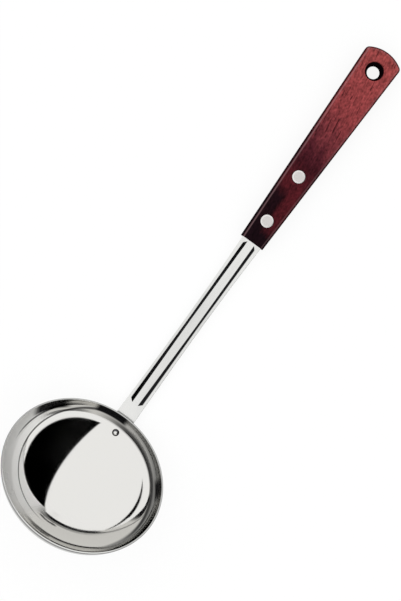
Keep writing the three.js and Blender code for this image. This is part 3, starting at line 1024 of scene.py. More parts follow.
@dataclass(frozen=True)
class StainedWood(Finish):
    """Close-grained wood under a satin red stain, almost black towards the shank.

    Painted shade darkens the rounded edges, with a painted highlight line just inside them; both
    are wider on one side, and the walls of the hole and of the rivet seats carry painted shade.
    `middle` is the handle's middle line at its start, `lean` its
    sideways run over its length; `front` is a point of its front and `facing` points out of it.
    `stain` gives colours by their place along the handle, as a share of its length.
    """

    form: HandleForm
    start: float
    middle: float
    lean: float
    front: Triple
    facing: Triple
    stain: tuple[tuple[float, Colour], ...]
    # Black of the stain's pools, also the painted shade on the edges and on the walls of hole and
    # seats.
    black: Colour
    pore: Colour
    # Colour of the painted highlight line inside the edges.
    painted_sheen: Colour
    grain_turn: float = math.radians(8.0)
    blotch: Grain = Grain((0.016, 0.004, 0.012), 2.0, 3.3)
    streak: Grain = Grain((0.02, 0.0011, 0.002), 3.0, 5.9)
    fibre: Grain = Grain((0.005, 0.0008, 0.0008), 2.0, 8.2)
    speck: Grain = Grain((0.0016, 0.0011, 0.001), 1.0, 7.7)
    crack: Grain = Grain((0.009, 0.0008, 0.0014), 1.0, 6.4)
    blotch_shift: float = 0.16
    streak_shift: float = 0.1
    side_shift: float = 3.0
    pool_side: Range = (-0.0022, 0.0014)
    pool_side_waver: float = 0.004
    pool_end: Range = (0.22, 0.31)
    pool_end_waver: float = 0.08
    pool_share: float = 0.95
    crack_range: Range = (0.635, 0.69)
    crack_start: Range = (0.4, 0.6)
    crack_share: float = 0.8
    fibre_light: float = 1.2
    speck_light: float = 1.7
    light_drop: float = 0.45
    roughness: float = 0.5
    fibre_roughness: float = 0.18
    crack_roughness: float = 0.15
    coat: float = 0.04
    coat_roughness: float = 0.4
    fibre_height: float = 0.5
    crack_depth: float = 0.8
    relief: float = 0.00004
    # Painted shade over the rounded edges and a painted highlight line inside them; the +y side's
    # are wider and brighter.
    round_reach: Range = (1.3, 1.0)
    edge_shade_insets: Range = (0.0009, 0.0007)
    edge_shade_softness: float = 0.0003
    edge_shade_share: float = 0.85
    sheen_insets: Range = (0.0016, 0.0013)
    sheen_half: float = 0.0007
    sheen_shares: Range = (0.27, 0.12)
    seat_margin: float = 0.0004
    wall_softness: float = 0.0004

    def paint(self, graph: ShaderGraph) -> None:
        """Stain deepens along the handle, broken by slow noise; pores are drawn-out dark cracks."""
        x, y, _ = graph.parts(graph.place())
        along = x - self.start
        share = along / self.form.length
        across = y - self.middle - self.lean * share
        grains = (self.blotch, self.streak, self.fibre, self.speck, self.crack)
        laid = (graph.grain(each, self.grain_turn) for each in grains)
        blotch, streak, fibre, speck, split = laid
        crack = split.eased(*self.crack_range)
        slow = self.blotch_shift * (blotch - 0.5) + self.streak_shift * (streak - 0.5)
        stain = graph.ramp(share + slow - self.side_shift * across, self.stain)
        beside = (across + self.pool_side_waver * (streak - 0.5)).eased(*self.pool_side)
        past = (share + self.pool_end_waver * (blotch - 0.5)).eased(*self.pool_end)
        pooled = graph.mixed(self.pool_share * beside * (1.0 - past), stain, self.black)
        open_pores = self.crack_share * crack * share.eased(*self.crack_start)
        cracked = graph.mixed(open_pores, pooled, self.pore)
        light = self.fibre_light * fibre + self.speck_light * speck - self.light_drop
        # Painted shade over the edges and a painted highlight line inside them.
        with_painted_edges = self._painted_edge_shade_and_sheen(graph, graph.shaded(cracked, light), along, across)
        # The walls of the hole and of the rivet seats are painted black as shade.
        wall = self._wall(along, across)
        rough = self.roughness + self.fibre_roughness * fibre + self.crack_roughness * crack
        height = self.fibre_height * fibre - self.crack_depth * crack
        graph.surface(
            {
                # Painted shade on the walls of the hole and of the rivet seats.
                "Base Color": graph.mixed(wall, with_painted_edges, self.black),
                "Roughness": rough,
                "Specular IOR Level": 0.0,
                "Coat Weight": self.coat * (1.0 - wall),
                "Coat Roughness": self.coat_roughness,
                "Normal": graph.bumped(height, self.relief),
            }
        )

    def _painted_edge_shade_and_sheen(self, graph: ShaderGraph, stain: Wire, along: Wire, across: Wire) -> Wire:
        """Paint shade over the rounded edges and a highlight line just inside them.

        Args:
            graph: The material's graph.
            stain: Colour of the wood.
            along: Place along the handle.
            across: Place across it.

        Returns:
            The colour with its edges.
        """
        form = self.form
        half_thick = form.thickness / 2.0
        top = float(np.dot(self.facing, self.front))
        from_middle = abs(graph.along(graph.place(), self.facing) - top + half_thick)
        low, high = (half_thick - reach * form.edge_round for reach in self.round_reach)
        on_round = from_middle.eased(low, high)
        half = form.width_at_shank / 2.0 + math.tan(form.taper) * along
        past = (along - form.crown_centre).most(0.0)
        from_end = form.crown_radius - (past * past + across * across) ** 0.5
        with_painted_edges = stain
        sides = ((half - across), (half + across).least(from_end))
        # The +y side gets the wider painted shade and the brighter painted highlight.
        for side, dark, painted_sheen, share in zip(
            sides, self.edge_shade_insets, self.sheen_insets, self.sheen_shares, strict=True
        ):
            # Painted highlight line just inside the edge.
            with_painted_edges = graph.mixed(share * side.band(painted_sheen, self.sheen_half), with_painted_edges, self.painted_sheen)
            # Painted shade over the rounded edge.
            inside = side.eased(dark - self.edge_shade_softness, dark + self.edge_shade_softness)
            with_painted_edges = graph.mixed(self.edge_shade_share * (on_round * (1.0 - inside)), with_painted_edges, self.black)
        return with_painted_edges

    def _wall(self, along: Wire, across: Wire) -> Wire:
        """Find the walls of the hanging hole and of the rivets' seats, which get painted shade.

        Args:
            along: Place along the handle.
            across: Place across it.

        Returns:
            1 on a wall, 0 on the handle's outside.
        """
        form = self.form
        seat = form.rivet_head_radius + self.seat_margin
        walls = [(form.hole_place, form.hole_mouth_radius)]
        walls += [(place, seat) for place in form.rivet_places]
        shares = []
        for place, radius in walls:
            distance = ((along - place) ** 2.0 + across * across) ** 0.5
            shares.append(1.0 - distance.eased(radius - self.wall_softness, radius))
        return sum(shares[1:], shares[0])


@dataclass(frozen=True)
class Lying:
    """How the ladle lies: from the bowl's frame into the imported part's.

    Shank and handle stray sideways from the bowl's middle plane, as they do in the photograph: by
    `strays` at the places `stray_places` along the part, with straight lines between them.
    """

    turn: float
    shift: tuple[float, float]
    stray_places: Triple = (-0.1, 0.03, 0.168)
    strays: Triple = (-0.00086, -0.00066, 0.0001)
    lift: float = 0.000004

    def lay(self, skin: Skin, *, straying: bool) -> Skin:
        """Move a surface to where it lies.

        Args:
            skin: A surface in the bowl's frame.
            straying: Whether the surface strays with shank and handle.

        Returns:
            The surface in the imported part's frame.
        """
        laid = skin.place(self.turn, self.shift)
        aside = np.zeros_like(laid.points)
        if straying:
            aside[:, 1] = np.interp(laid.points[:, 0], self.stray_places, self.strays)
        return laid.moved(aside)

    @classmethod
    def of_record(cls, record: Mapping[str, Any], strip: StripForm, handle: HandleForm) -> Lying:
        """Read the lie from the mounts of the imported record.

        Args:
            record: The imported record.
            strip: Sizes of the shank.
            handle: Sizes of the handle.

        Returns:
            The turn that the front's mount shows, and the shift that the hanging hole's shows.
        """
        mounts = {mount["name"]: mount for mount in record["mounts"]}
        turn = strip.rise + math.asin(mounts["handle_front"]["axis"][0])
        hole = np.array([strip.length + handle.hole_place, 0.0, 0.0])
        in_bowl_frame = turned(hole, -strip.rise, strip.origin)
        laid = turned(in_bowl_frame, turn, (0.0, 0.0))
        true = mounts["hanging_hole"]["pos_m"]
        return cls(turn, (true[0] - laid[0], true[2] - laid[2] + cls.lift))


@dataclass
class LadlePiece(ABC):
    """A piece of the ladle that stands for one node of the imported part."""

    name: str
    node: str
    slot: Slot
    finish: Finish
    straying: ClassVar[bool] = True
    mirrored: ClassVar[bool] = True

    @abstractmethod
    def shape(self) -> Skin:
        """Work the piece's surface out, in the bowl's frame."""

    def build(self, lying: Lying) -> bpy.types.Object:
        """Make the piece where it lies.

        Args:
            lying: How the ladle lies.

        Returns:
            The piece's object.
        """
        return lying.lay(self.shape(), straying=self.straying).as_object(self.name)

    def dress(self, made: bpy.types.Object) -> None:
        """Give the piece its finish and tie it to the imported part.

        Args:
            made: The piece's object.
        """
        made.data.materials.append(self.finish.material())
        made.visible_glossy = self.mirrored
        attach(made, "root")
        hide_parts(self.node)


@dataclass
class Bowl(LadlePiece):
    """The drawn bowl: a round bottom, a tighter wall and a rim left as the sheet's cut edge."""

    form: BowlForm
    straying: ClassVar[bool] = False
    sides: int = 288
    steps: int = 96
    edge_steps: int = 6

    def shape(self) -> Skin:
        """Carry the profile of the sheet round the axis: outside, cut edge, inside."""
        places, slopes = self.form.inside(self.steps)
        outward = np.stack([np.sin(slopes), -np.cos(slopes)], axis=-1)
        outside = places + self.form.sheet * outward
        edge = self.cut_edge()
        skin = revolved(np.concatenate([outside, edge, places[::-1]]), self.sides)
        first = (len(outside) - 1) * self.sides
        within = np.arange(len(skin.points)) >= first
        radius = np.maximum(skin.marks[Mark.RADIUS], self.form.rim_edge_round)
        skin.marks[Mark.TOWARDS] = within * skin.points[:, 0] / radius
        skin.marks[Mark.ASIDE] = within * skin.points[:, 1] / radius
        return skin

    def cut_edge(self) -> Array:
        """Round both corners of the flat edge.

        Returns:
            (radius, height) from the outside inwards: a quarter circle, the flat, another one.
        """
        form = self.form
        ease = form.rim_edge_round
        places, slopes = form.inside(self.steps)
        slope = float(slopes[-1])
        outward = np.array([math.sin(slope), -math.cos(slope)])
        quarter = np.linspace(0.0, math.pi / 2.0, self.edge_steps + 1)
        turn = slope - math.pi / 2.0 + np.concatenate([quarter[1:], quarter[:-1] + math.pi / 2.0])
        depths = np.repeat([form.sheet - ease, ease], self.edge_steps)[:, None]
        rounded = ease * np.stack([np.cos(turn), np.sin(turn)], axis=-1)
        return places[-1] + depths * outward + rounded


@dataclass
class BowlRivet(LadlePiece):
    """The rivet through bowl and foot, with a dome on both sides."""

    strip: StripForm
    radius: float = 0.0014
    head_radius: float = 0.00205
    head_height: float = 0.0011
    aside: float = -0.0006
    sides: int = 64
    dome_steps: int = 14

    def shape(self) -> Skin:
        """Carry a shaft between two quarter ellipses round the rivet's axis."""
        bowl = self.strip.bowl
        gap = self.strip.fit_gap
        grip = bowl.sheet + self.strip.thickness + 2.0 * gap
        turn = np.linspace(0.0, math.pi / 2.0, self.dome_steps + 1)
        dome_radius = self.head_radius * np.cos(turn)
        dome_height = self.head_height * np.sin(turn)
        dome_radius[-1] = 0.0
        high = np.stack([dome_radius, gap + dome_height], axis=-1)
        low = np.stack([dome_radius, -grip - dome_height], axis=-1)[::-1]
        shaft = np.array([[self.radius, -grip], [self.radius, gap]])
        skin = revolved(np.concatenate([low, shaft, high]), self.sides)
        beside = skin.moved((0.0, self.aside, 0.0))
        return beside.place(-bowl.rivet_slope, bowl.rivet_place)


@dataclass
class Shank(LadlePiece):
    """The stamped strip: dished foot, bend, waisted length with its pressed channel, tang."""

    form: StripForm
    mirrored: ClassVar[bool] = False
    flank_middles: Triple = (0.00295, 0.00303, 0.00311)
    flank_widths: Triple = (0.002, 0.00115, 0.00165)
    channel_depth: float = 0.0011
    channel_run_out: float = 0.002
    channel_to_bend: float = 0.0117
    channel_to_handle: float = 0.0009
    floor_rounding: float = 0.0001
    lip_rounding: float = 0.00028
    edge_radius: float = 0.0002
    run_out_margin: float = 0.0005
    corner_steps: int = 12
    length_steps: tuple[int, ...] = (12, 40, 10, 40, 50, 40, 3, 4, 8)
    front_steps: int = 120
    back_steps: int = 60
    edge_steps: int = 5

    @property
    def channel_ends(self) -> tuple[float, float]:
        """Lengths from the foot's free end at which the channel starts and ends."""
        form = self.form
        return form.straight_start + self.channel_to_bend, form.tang_start - self.channel_to_handle

    def flanks(self, along: Array) -> tuple[Array, Array]:
        """Follow the flanks of the channel.

        Args:
            along: Lengths from the foot's free end.

        Returns:
            Distance of the flanks' middle from the strip's middle line, and their width.
        """
        start, end = self.channel_ends
        places = (start, (start + end) / 2.0, end)
        middle = np.interp(along, places, self.flank_middles)
        return middle, np.interp(along, places, self.flank_widths)

    def channel(self, along: Array, across: Array) -> Array:
        """Depth of the pressing: a level floor, straight flanks and ends that run out to the face.

        The flank rises from the floor's edge by its slope times the distance; the channel is as
        deep as the floor less that rise, and never less than nothing, with both creases rounded.
        The flanks are widest at the channel's ends and narrowest half-way.

        Args:
            along: Lengths from the foot's free end.
            across: Distances from the strip's middle line.

        Returns:
            How far the face is pressed back.
        """
        start, end = self.channel_ends
        to_end = np.minimum(along - start, end - along) / self.channel_run_out
        floor = self.channel_depth * np.clip(to_end, 0.0, 1.0)
        middle, width = self.flanks(along)
        beyond = self.channel_depth / width * (np.abs(across) - middle + width / 2.0)
        rise = blended_most(beyond, np.zeros_like(beyond), self.floor_rounding)
        rounding = self.lip_rounding * np.clip(2.0 * to_end, 0.0, 1.0)
        depth = 0.5 * (floor - rise + np.sqrt((floor - rise) ** 2 + rounding**2))
        return np.where(to_end > 0.0, depth, 0.0)

    def lengths(self) -> Array:
        """Places along the strip, close together where it turns or is pressed."""
        form = self.form
        corner = form.foot_corner_radius
        rounded = corner * (1.0 - np.cos(np.linspace(0.0, math.pi / 2.0, self.corner_steps + 1)))
        start, end = self.channel_ends
        margin = self.run_out_margin
        stops = [
            corner,
            form.foot_length,
            form.straight_start,
            start - margin,
            start + self.channel_run_out + margin,
            end - self.channel_run_out - margin,
            end + margin,
            form.tang_start,
            form.tang_start + form.tang_shoulder,
            form.tang_start + form.tang_length,
        ]
        return np.concatenate([rounded[:-1], stations(stops, self.length_steps)])

    def section(self) -> tuple[Array, Array, Array]:
        """Section of the strip, round its outline: front, edge, back, edge.

        Returns:
            For each point the share of the flat half width, what the rounded edge adds to it, and
            the height over the middle surface.
        """
        half = self.form.thickness / 2.0
        radius = self.edge_radius
        front = np.linspace(-1.0, 1.0, self.front_steps + 1)
        back = np.linspace(1.0, -1.0, self.back_steps + 1)
        turn = np.linspace(math.pi / 2.0, 0.0, self.edge_steps + 1)[1:]
        out, up = radius * np.cos(turn), half - radius + radius * np.sin(turn)
        edge_out = np.concatenate([out, out[::-1]])
        edge_up = np.concatenate([up, -up[::-1]])
        ones = np.ones_like(edge_out)
        share = np.concatenate([front, ones, back, -ones])
        aside = np.concatenate([0.0 * front, edge_out, 0.0 * back, -edge_out])
        height = np.concatenate([0.0 * front + half, edge_up, 0.0 * back - half, edge_up[::-1]])
        return share, aside, height

    def shape(self) -> Skin:
        """Carry the section along the path, pressed by the channel and dished at the foot.

        A point at height n over the middle surface goes to path + n (-sin slope, cos slope). On the
        foot x becomes the root of (x^2 - y^2), which fades out along the bend.
        """
        form = self.form
        along = self.lengths()
        share, aside, height = self.section()
        flat_half = form.half_width(along)[:, None] - self.edge_radius
        across = share * flat_half + aside
        raised = height - self.channel(along[:, None], across)
        hair = self.floor_rounding
        before = self.channel(along[:, None], across - hair)
        fall = before - self.channel(along[:, None], across + hair)
        steepest = self.channel_depth / self.flanks(along[:, None])[1]
        flank = np.where(height > 0.0, np.abs(fall) / (2.0 * hair * steepest), 0.0)
        places, slope = form.path(along)
        x = places[:, :1] - raised * np.sin(slope)[:, None]
        z = places[:, 1:] + raised * np.cos(slope)[:, None]
        bend = form.straight_start - form.foot_length
        dish = 1.0 - eased((along - form.foot_length) / bend)[:, None]
        dished = x + dish * (np.sqrt(x**2 - across**2) - x)
        points = np.stack([dished, across, z], axis=-1)
        rows, columns = across.shape
        sides = wrapped_faces(rows, columns, closed=True)
        loop = np.arange(columns)
        ends = [loop.tolist(), ((rows - 1) * columns + loop)[::-1].tolist()]
        faces = [*sides.tolist(), *ends]
        return Skin(points.reshape(-1, 3), faces, {Mark.FLANK: flank.ravel()})


@dataclass
class Handle(LadlePiece):
    """The wooden handle: rounded edges, a kerf for the tang, rivet seats and a hanging hole."""

    form: HandleForm
    strip: StripForm
    mirrored: ClassVar[bool] = False
    edge_steps: int = 10
    outline_steps: int = 24
    arc_steps: int = 14
    hole_sides: int = 96
    face_margin: float = 0.0005
    overrun: float = 0.003
    crease: float = math.radians(32.0)

    def block(self) -> Skin:
        """Carry the outline down from the front over the rounded edges to the back.

        On an edge of radius r an inset of r (1 - sin t) goes with a drop of r (1 - cos t).
        """
        form = self.form
        turn = np.linspace(0.0, math.pi / 2.0, self.edge_steps + 1)
        inset = form.edge_round * (1.0 - np.sin(turn))
        half = form.thickness / 2.0
        height = half - form.edge_round * (1.0 - np.cos(turn))
        margin = form.edge_round + self.face_margin
        insets = np.concatenate([[margin], inset, inset[::-1], [margin]])
        heights = np.concatenate([[half], height, -height[::-1], [-half]])
        outline = form.outline(insets, self.outline_steps, self.arc_steps)
        rows, columns = outline.shape[:2]
        level = np.broadcast_to(heights[:, None, None], (rows, columns, 1))
        points = np.concatenate([outline, level], axis=-1).reshape(-1, 3)
        numbers = np.arange(rows * columns).reshape(rows, columns)
        ends = [
            numbers[0].tolist(),
            numbers[-1][::-1].tolist(),
            [*numbers[::-1, 0].tolist(), *numbers[:, -1].tolist()],
        ]
        return Skin(points, [*wrapped_faces(rows, columns, closed=False).tolist(), *ends])

    def hole_cutter(self) -> Skin:
        """Carry the hole's profile round its axis: a short throat that widens to both faces."""
        form = self.form
        half = form.thickness / 2.0
        low = -form.hole_throat_drop - form.hole_throat / 2.0
        high = low + form.hole_throat
        flare = form.hole_mouth_radius - form.hole_radius
        wide_low = form.hole_mouth_radius + flare / (half + low) * self.overrun
        wide_high = form.hole_mouth_radius + flare / (half - high) * self.overrun
        top = half + self.overrun
        profile = [(0, -top), (wide_low, -top), (form.hole_radius, low)]
        profile += [(form.hole_radius, high), (wide_high, top), (0, top)]
        return self._turned_cutter(profile, form.hole_place)

    def seat_cutter(self, place: float) -> Skin:
        """Carry a rivet seat's profile round its axis.

        Args:
            place: Where the rivet's axis lies along the handle.

        Returns:
            The rivet's form, wider by the fit's gap and running past both faces.
        """
        form, gap = self.form, self.strip.fit_gap
        half = form.thickness / 2.0
        neck = half - form.rivet_head_depth
        widening = (form.rivet_head_radius - form.rivet_radius) / form.rivet_head_depth
        wide = form.rivet_head_radius + gap + widening * self.overrun
        top = half + self.overrun
        shaft = form.rivet_radius + gap
        profile = [(0, -top), (wide, -top), (shaft, -neck), (shaft, neck), (wide, top), (0, top)]
        return self._turned_cutter(profile, place)

    def _turned_cutter(self, profile: Sequence[tuple[float, float]], place: float) -> Skin:
        """Carry a cutter's profile round an axis at a place along the handle."""
        return revolved(np.array(profile, float), self.hole_sides).moved((place, 0.0, 0.0))

    def kerf_cutter(self) -> Skin:
        """A slab from before the shank's end to the kerf's end, wider than the handle."""
        form = self.form
        length = self.strip.tang_length + form.kerf_end_room
        half_height = self.strip.thickness / 2.0 + self.strip.fit_gap
        half_width = form.width_at_end / 2.0 + self.overrun
        ends = [(-self.overrun, length), (-half_width, half_width), (-half_height, half_height)]
        points = np.stack(np.meshgrid(*ends, indexing="ij"), axis=-1).reshape(-1, 3)
        across_x = [[0, 1, 3, 2], [4, 6, 7, 5]]
        across_y = [[0, 4, 5, 1], [2, 3, 7, 6]]
        across_z = [[0, 2, 6, 4], [1, 5, 7, 3]]
        return Skin(points, across_x + across_y + across_z)

    def shape(self) -> Skin:
        """Return the uncut block, in the bowl's frame."""
        return self._on_shank(self.block())

    def _on_shank(self, skin: Skin) -> Skin:
        """Move a surface, without its marks, from the handle's own frame into the bowl's."""
        return self.strip.carry(Skin(skin.points, skin.faces))

    def build(self, lying: Lying) -> bpy.types.Object:
        """Make the block where it lies and cut the kerf, the hole and the rivet seats out of it.

        Args:
            lying: How the ladle lies.

        Returns:
            The cut handle.
        """
        made = super().build(lying)
        seats = [self.seat_cutter(place) for place in self.form.rivet_places]
        cutters = [self.kerf_cutter(), self.hole_cutter(), *seats]
        tools = [
            lying.lay(self._on_shank(cutter), straying=True).as_object(f"cutter_{number}")
            for number, cutter in enumerate(cutters)
        ]
        for tool in tools:
            cut = made.modifiers.new(tool.name, "BOOLEAN")
            cut.operation, cut.solver, cut.object = "DIFFERENCE", "EXACT", tool
        ready = made.evaluated_get(bpy.context.evaluated_depsgraph_get())
        whole, made.data = made.data, bpy.data.meshes.new_from_object(ready)
        made.modifiers.clear()
        bpy.data.meshes.remove(whole)
        for tool in tools:
            bpy.data.meshes.remove(tool.data)
        made.data.name = self.name
        made.data.set_sharp_from_angle(angle=self.crease)
        return made


@dataclass
class HandleRivet(LadlePiece):
    """A rivet through handle and tang, its countersunk heads flush, with a bevelled border."""

    form: HandleForm
    strip: StripForm
    place: float
    mirrored: ClassVar[bool] = False
    border: float = 0.00075
    border_drop: float = 0.00012
    edge_round: float = 0.00018
    sides: int = 96
    face_steps: int = 8
    round_steps: int = 5

    def shape(self) -> Skin:
        """Carry half of the rivet's profile, and its mirror image, round the axis."""
        form = self.form
        half = form.thickness / 2.0
        neck = half - form.rivet_head_depth
        face_radius = form.rivet_head_radius - self.border
        across = np.linspace(0.0, face_radius, self.face_steps)
        face = np.stack([across, np.full_like(across, half)], axis=-1)
        turn = np.linspace(math.pi / 2.0, 0.0, self.round_steps)
        rounded = np.stack(
            [
                form.rivet_head_radius - self.edge_round * (1.0 - np.cos(turn)),
                half - self.border_drop - self.edge_round * (1.0 - np.sin(turn)),
            ],
            axis=-1,
        )
        shaft = np.array([[form.rivet_radius, neck]])
        high = np.concatenate([shaft, rounded[::-1], face[::-1]])
        low = high[::-1] * np.array([1.0, -1.0])
        return self.strip.carry(revolved(np.concatenate([low, high]), self.sides), self.place)


@dataclass(frozen=True)
class Edge:
    """A straight edge: what has more than `least` along `facing` lies behind it."""

    facing: Triple
    least: float
    softness: float

    def behind(self, graph: ShaderGraph, vector: Wire) -> Wire:
        """Return 1 behind the edge and 0 before it, for a direction or a place."""
        along = graph.along(vector, self.facing)
        return along.eased(self.least - self.softness, self.least + self.softness)


@dataclass
class Studio:
    """A pale floor under a white sky, with a black board and a dark slit for metal to mirror.

    Board and slit are bounded by edges: of directions in the sky, of places on the floor.
    """

    floor_half: float = 4.0
    floor_drop: float = 0.0002
    floor_white: float = 1.0
    floor_own_light: float = 0.88
    mirrored_floor_grey: float = 0.8
    under_bowl: Edge = Edge((-1.0, 0.0, 0.0), 0.06, 0.02)
    mirrored_level: float = 1.2
    board: tuple[Edge, ...] = (
        Edge((-0.1627, -0.9156, -0.3678), 0.0504, 0.014),
        Edge((0.6364, -0.0059, 0.7713), 0.3348, 0.014),
    )
    slit: tuple[Edge, ...] = (
        Edge((-0.6084, 0.0701, -0.7906), -0.2856, 0.006),
        Edge((0.6699, 0.1449, 0.7282), 0.436, 0.006),
    )
    floor_board: tuple[Edge, ...] = (
        Edge((-0.2345, -1.0, 0.0), 0.02, 0.0015),
        Edge((1.0, 0.0, 0.0), -0.076, 0.0015),
        Edge((1.0, 0.621, 0.0), -0.0845, 0.0015),
    )
    floor_slit: tuple[Edge, ...] = (
        Edge((-1.48, 1.0, 0.0), 0.12, 0.002),
        Edge((1.82, -1.0, 0.0), -0.138, 0.002),
    )
    sky_level: float = 1.39
    sky_low: float = 0.17
    sky_high: float = 0.82

    def build(self) -> None:
        """Set the view's colours, the sky and the floor."""
        bpy.context.scene.view_settings.view_transform = "Standard"
        self.build_sky()
        self.build_floor()

    @staticmethod
    def dark(graph: ShaderGraph, vector: Wire, groups: Sequence[Sequence[Edge]]) -> Wire:
        """Find what is dark.

        Args:
            graph: The shader that asks.
            vector: A direction or a place.
            groups: Edges of each dark thing, all of which it lies behind.

        Returns:
            1 where one of the things is, and 0 elsewhere.
        """
        shares = [
            math.prod((edge.behind(graph, vector) for edge in edges), start=1.0) for edges in groups
        ]
        return sum(shares[1:], shares[0]).least(1.0)

    def build_sky(self) -> None:
        """Light for plain surfaces grows with height; metal mirrors white, board and slit."""
        world = bpy.data.worlds.new("studio")
        bpy.context.scene.world = world
        graph = ShaderGraph(world)
        towards = graph.wire("ShaderNodeTexCoord", output="Generated")
        height = graph.parts(towards)[2]
        mirrored = self.mirrored_level * (1.0 - self.dark(graph, towards, (self.board, self.slit)))
        lit = self.sky_level * height.eased(self.sky_low, self.sky_high)
        rays = graph.node("ShaderNodeLightPath", {}, {})
        glossy = Wire(graph, rays.outputs["Is Glossy Ray"])
        camera = Wire(graph, rays.outputs["Is Camera Ray"])
        level = lit + glossy * (mirrored - lit)
        seen = level + camera * (1.0 - level)
        sky = graph.wire("ShaderNodeBackground", {}, {"Color": WHITE, "Strength": seen})
        graph.node("ShaderNodeOutputWorld", {}, {"Surface": sky})

    def build_floor(self) -> None:
        """Make the floor, whose own light makes up for its grey where the eye or metal sees it.

        Under the bowl it is pale by the sky's light alone, so that metal mirrors a shadow there.
        """
        half = self.floor_half
        points = np.array([[-half, -half], [half, -half], [half, half], [-half, half]])
        level = np.full((4, 1), -self.floor_drop)
        floor = Skin(np.concatenate([points, level], axis=1), [[0, 1, 2, 3]]).as_object("floor")
        material = bpy.data.materials.new("pale_floor")
        graph = ShaderGraph(material)
        rays = graph.node("ShaderNodeLightPath", {}, {})
        metal = Wire(graph, rays.outputs["Is Glossy Ray"])
        through = Wire(graph, rays.outputs["Is Transmission Ray"])
        eye = Wire(graph, rays.outputs["Is Camera Ray"]).most(through)
        white = 1.0 - metal * self.dark(graph, graph.place(), (self.floor_board, self.floor_slit))
        grey = self.floor_white - self.floor_own_light
        shadowed = metal * self.under_bowl.behind(graph, graph.place())
        seen_grey = grey + shadowed * (self.mirrored_floor_grey - grey)
        tint = graph.shaded(WHITE[:3], white * seen_grey)
        diffuse = graph.wire("ShaderNodeBsdfDiffuse", {}, {"Color": tint})
        own = eye * self.floor_own_light + metal * white * (self.mirrored_level - seen_grey)
        light = graph.wire("ShaderNodeEmission", {}, {"Color": WHITE, "Strength": own})
        both = graph.wire("ShaderNodeAddShader", {}, {0: diffuse, 1: light})
        graph.node("ShaderNodeOutputMaterial", {}, {"Surface": both})
        floor.data.materials.append(material)


@dataclass
class PhotoCamera:
    """The camera, almost straight above the table; the ladle runs up to the right."""

    eye: Triple = (-0.03253, 0.02017, 1.28668)
    aim: Triple = (-0.00901, 0.00349, 0.0)
    heading: float = math.radians(-54.064)
    picture_height: int = 601
    focal_pixels: float = 2240.0
    sensor: float = 36.0

    def build(self) -> bpy.types.Object:
        """Make the camera and give it to the scene.

        Returns:
            The camera's object.
        """
        data = bpy.data.cameras.new("photo_camera")
        data.sensor_fit = "VERTICAL"
        data.sensor_height = self.sensor
        data.lens = self.focal_pixels * self.sensor / self.picture_height
        made = bpy.data.objects.new("photo_camera", data)
        bpy.context.scene.collection.objects.link(made)
        back = np.array(self.eye) - np.array(self.aim)
        back /= np.linalg.norm(back)
        level = np.array([math.cos(self.heading), math.sin(self.heading), 0.0])
        right = level - back * float(level @ back)
        right /= np.linalg.norm(right)
        matrix = np.eye(4)
        matrix[:3, 0], matrix[:3, 1], matrix[:3, 2] = right, np.cross(back, right), back
        matrix[:3, 3] = self.eye
        made.matrix_world = matrix.T.tolist()
        bpy.context.scene.camera = made
        return made


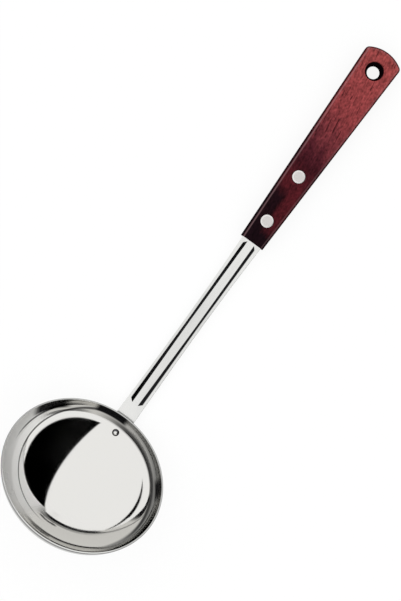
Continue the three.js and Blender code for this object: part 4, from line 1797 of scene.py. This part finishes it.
def ladle_pieces() -> list[LadlePiece]:
    """Choose the sizes and finishes of every piece.

    Returns:
        The pieces in the order in which they are made.
    """
    bowl, handle = BowlForm(), HandleForm()
    strip = StripForm(bowl)
    front = next(mount for mount in frame["record"]["mounts"] if mount["name"] == "handle_front")
    mirror = BowlSteel(
        "mirror_steel",
        painted(213, 212, 209),
        # Painted reflections near the rim and painted shade on the cut edge.
        painted_bright_reflection_colour=painted(250, 249, 246),
        dull_and_painted_reflection_colour=painted(134, 134, 133),
        painted_dark_reflection_colour=painted(20, 20, 22),
        painted_edge_shade_colour=painted(176, 176, 174),
        painted_tip_edge_shade_colour=painted(206, 206, 204),
        painted_line_reflection_colour=painted(34, 34, 36),
        painted_outline_shade_colour=painted(118, 118, 117),
    )
    dome = DomeSteel(
        "dome_steel",
        painted(214, 213, 210),
        gloss=0.07,
        haze=0.04,
        # Painted shade at the dome's foot.
        painted_foot_shade_colour=painted(70, 70, 72),
    )
    rolled = StripSteel(
        "rolled_strip_steel",
        painted(214, 214, 212),
        # Random dull patches, and the painted reflection half-way along.
        dull_and_painted_reflection_colour=painted(196, 196, 194),
        # Painted dark reflection on the channel's flanks.
        painted_flank_reflection_colour=painted(26, 26, 28),
    )
    black = painted(22, 8, 14)
    wood = StainedWood(
        "stained_wood",
        form=handle,
        start=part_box("handle")[0][0],
        middle=Lying.strays[1],
        lean=Lying.strays[2] - Lying.strays[1],
        front=tuple(front["pos_m"]),
        facing=tuple(front["axis"]),
        stain=(
            (0.06, black),
            (0.13, painted(69, 21, 27)),
            (0.28, painted(78, 24, 30)),
            (0.4, painted(57, 18, 25)),
            (0.46, painted(74, 27, 35)),
            (0.56, painted(108, 46, 51)),
            (0.67, painted(134, 58, 60)),
            (1.0, painted(148, 67, 66)),
        ),
        black=black,
        pore=painted(54, 15, 19),
        # Painted highlight line along the edges.
        painted_sheen=painted(186, 146, 150),
    )
    border = handle.rivet_head_radius - HandleRivet.border
    satin = SatinAluminium(
        "satin_aluminium",
        painted(204, 201, 199),
        # Painted highlight on the polished border.
        border_highlight_colour=painted(214, 211, 209),
        border_range=(border - 0.0003, border + 0.0002),
    )
    lower, upper = handle.rivet_places
    aluminium = Slot.RIVET_ALUMINIUM
    return [
        Bowl("polished_bowl", "bowl", Slot.POLISHED_STEEL, mirror, bowl),
        Shank("stamped_shank", "shank", Slot.STRIP_STEEL, rolled, strip),
        BowlRivet("domed_bowl_rivet", "bowl_rivet", Slot.RIVET_STEEL, dome, strip),
        Handle("stained_handle", "handle", Slot.STAINED_WOOD, wood, handle, strip),
        HandleRivet(
            "flush_lower_rivet", "lower_handle_rivet", aluminium, satin, handle, strip, lower
        ),
        HandleRivet(
            "flush_upper_rivet", "upper_handle_rivet", aluminium, satin, handle, strip, upper
        ),
    ]


def main() -> None:
    """Build the studio, the camera and the ladle, and note the sizes."""
    logging.basicConfig(level=logging.INFO, format="%(name)s: %(message)s")
    Studio().build()
    PhotoCamera().build()
    lying = Lying.of_record(frame["record"], StripForm(BowlForm()), HandleForm())
    for piece in ladle_pieces():
        made = piece.build(lying)
        piece.dress(made)
        points, faces = len(made.data.vertices), len(made.data.polygons)
        LOG.info("%s: %d points, %d faces", made.name, points, faces)


if __name__ == "__main__":
    main()
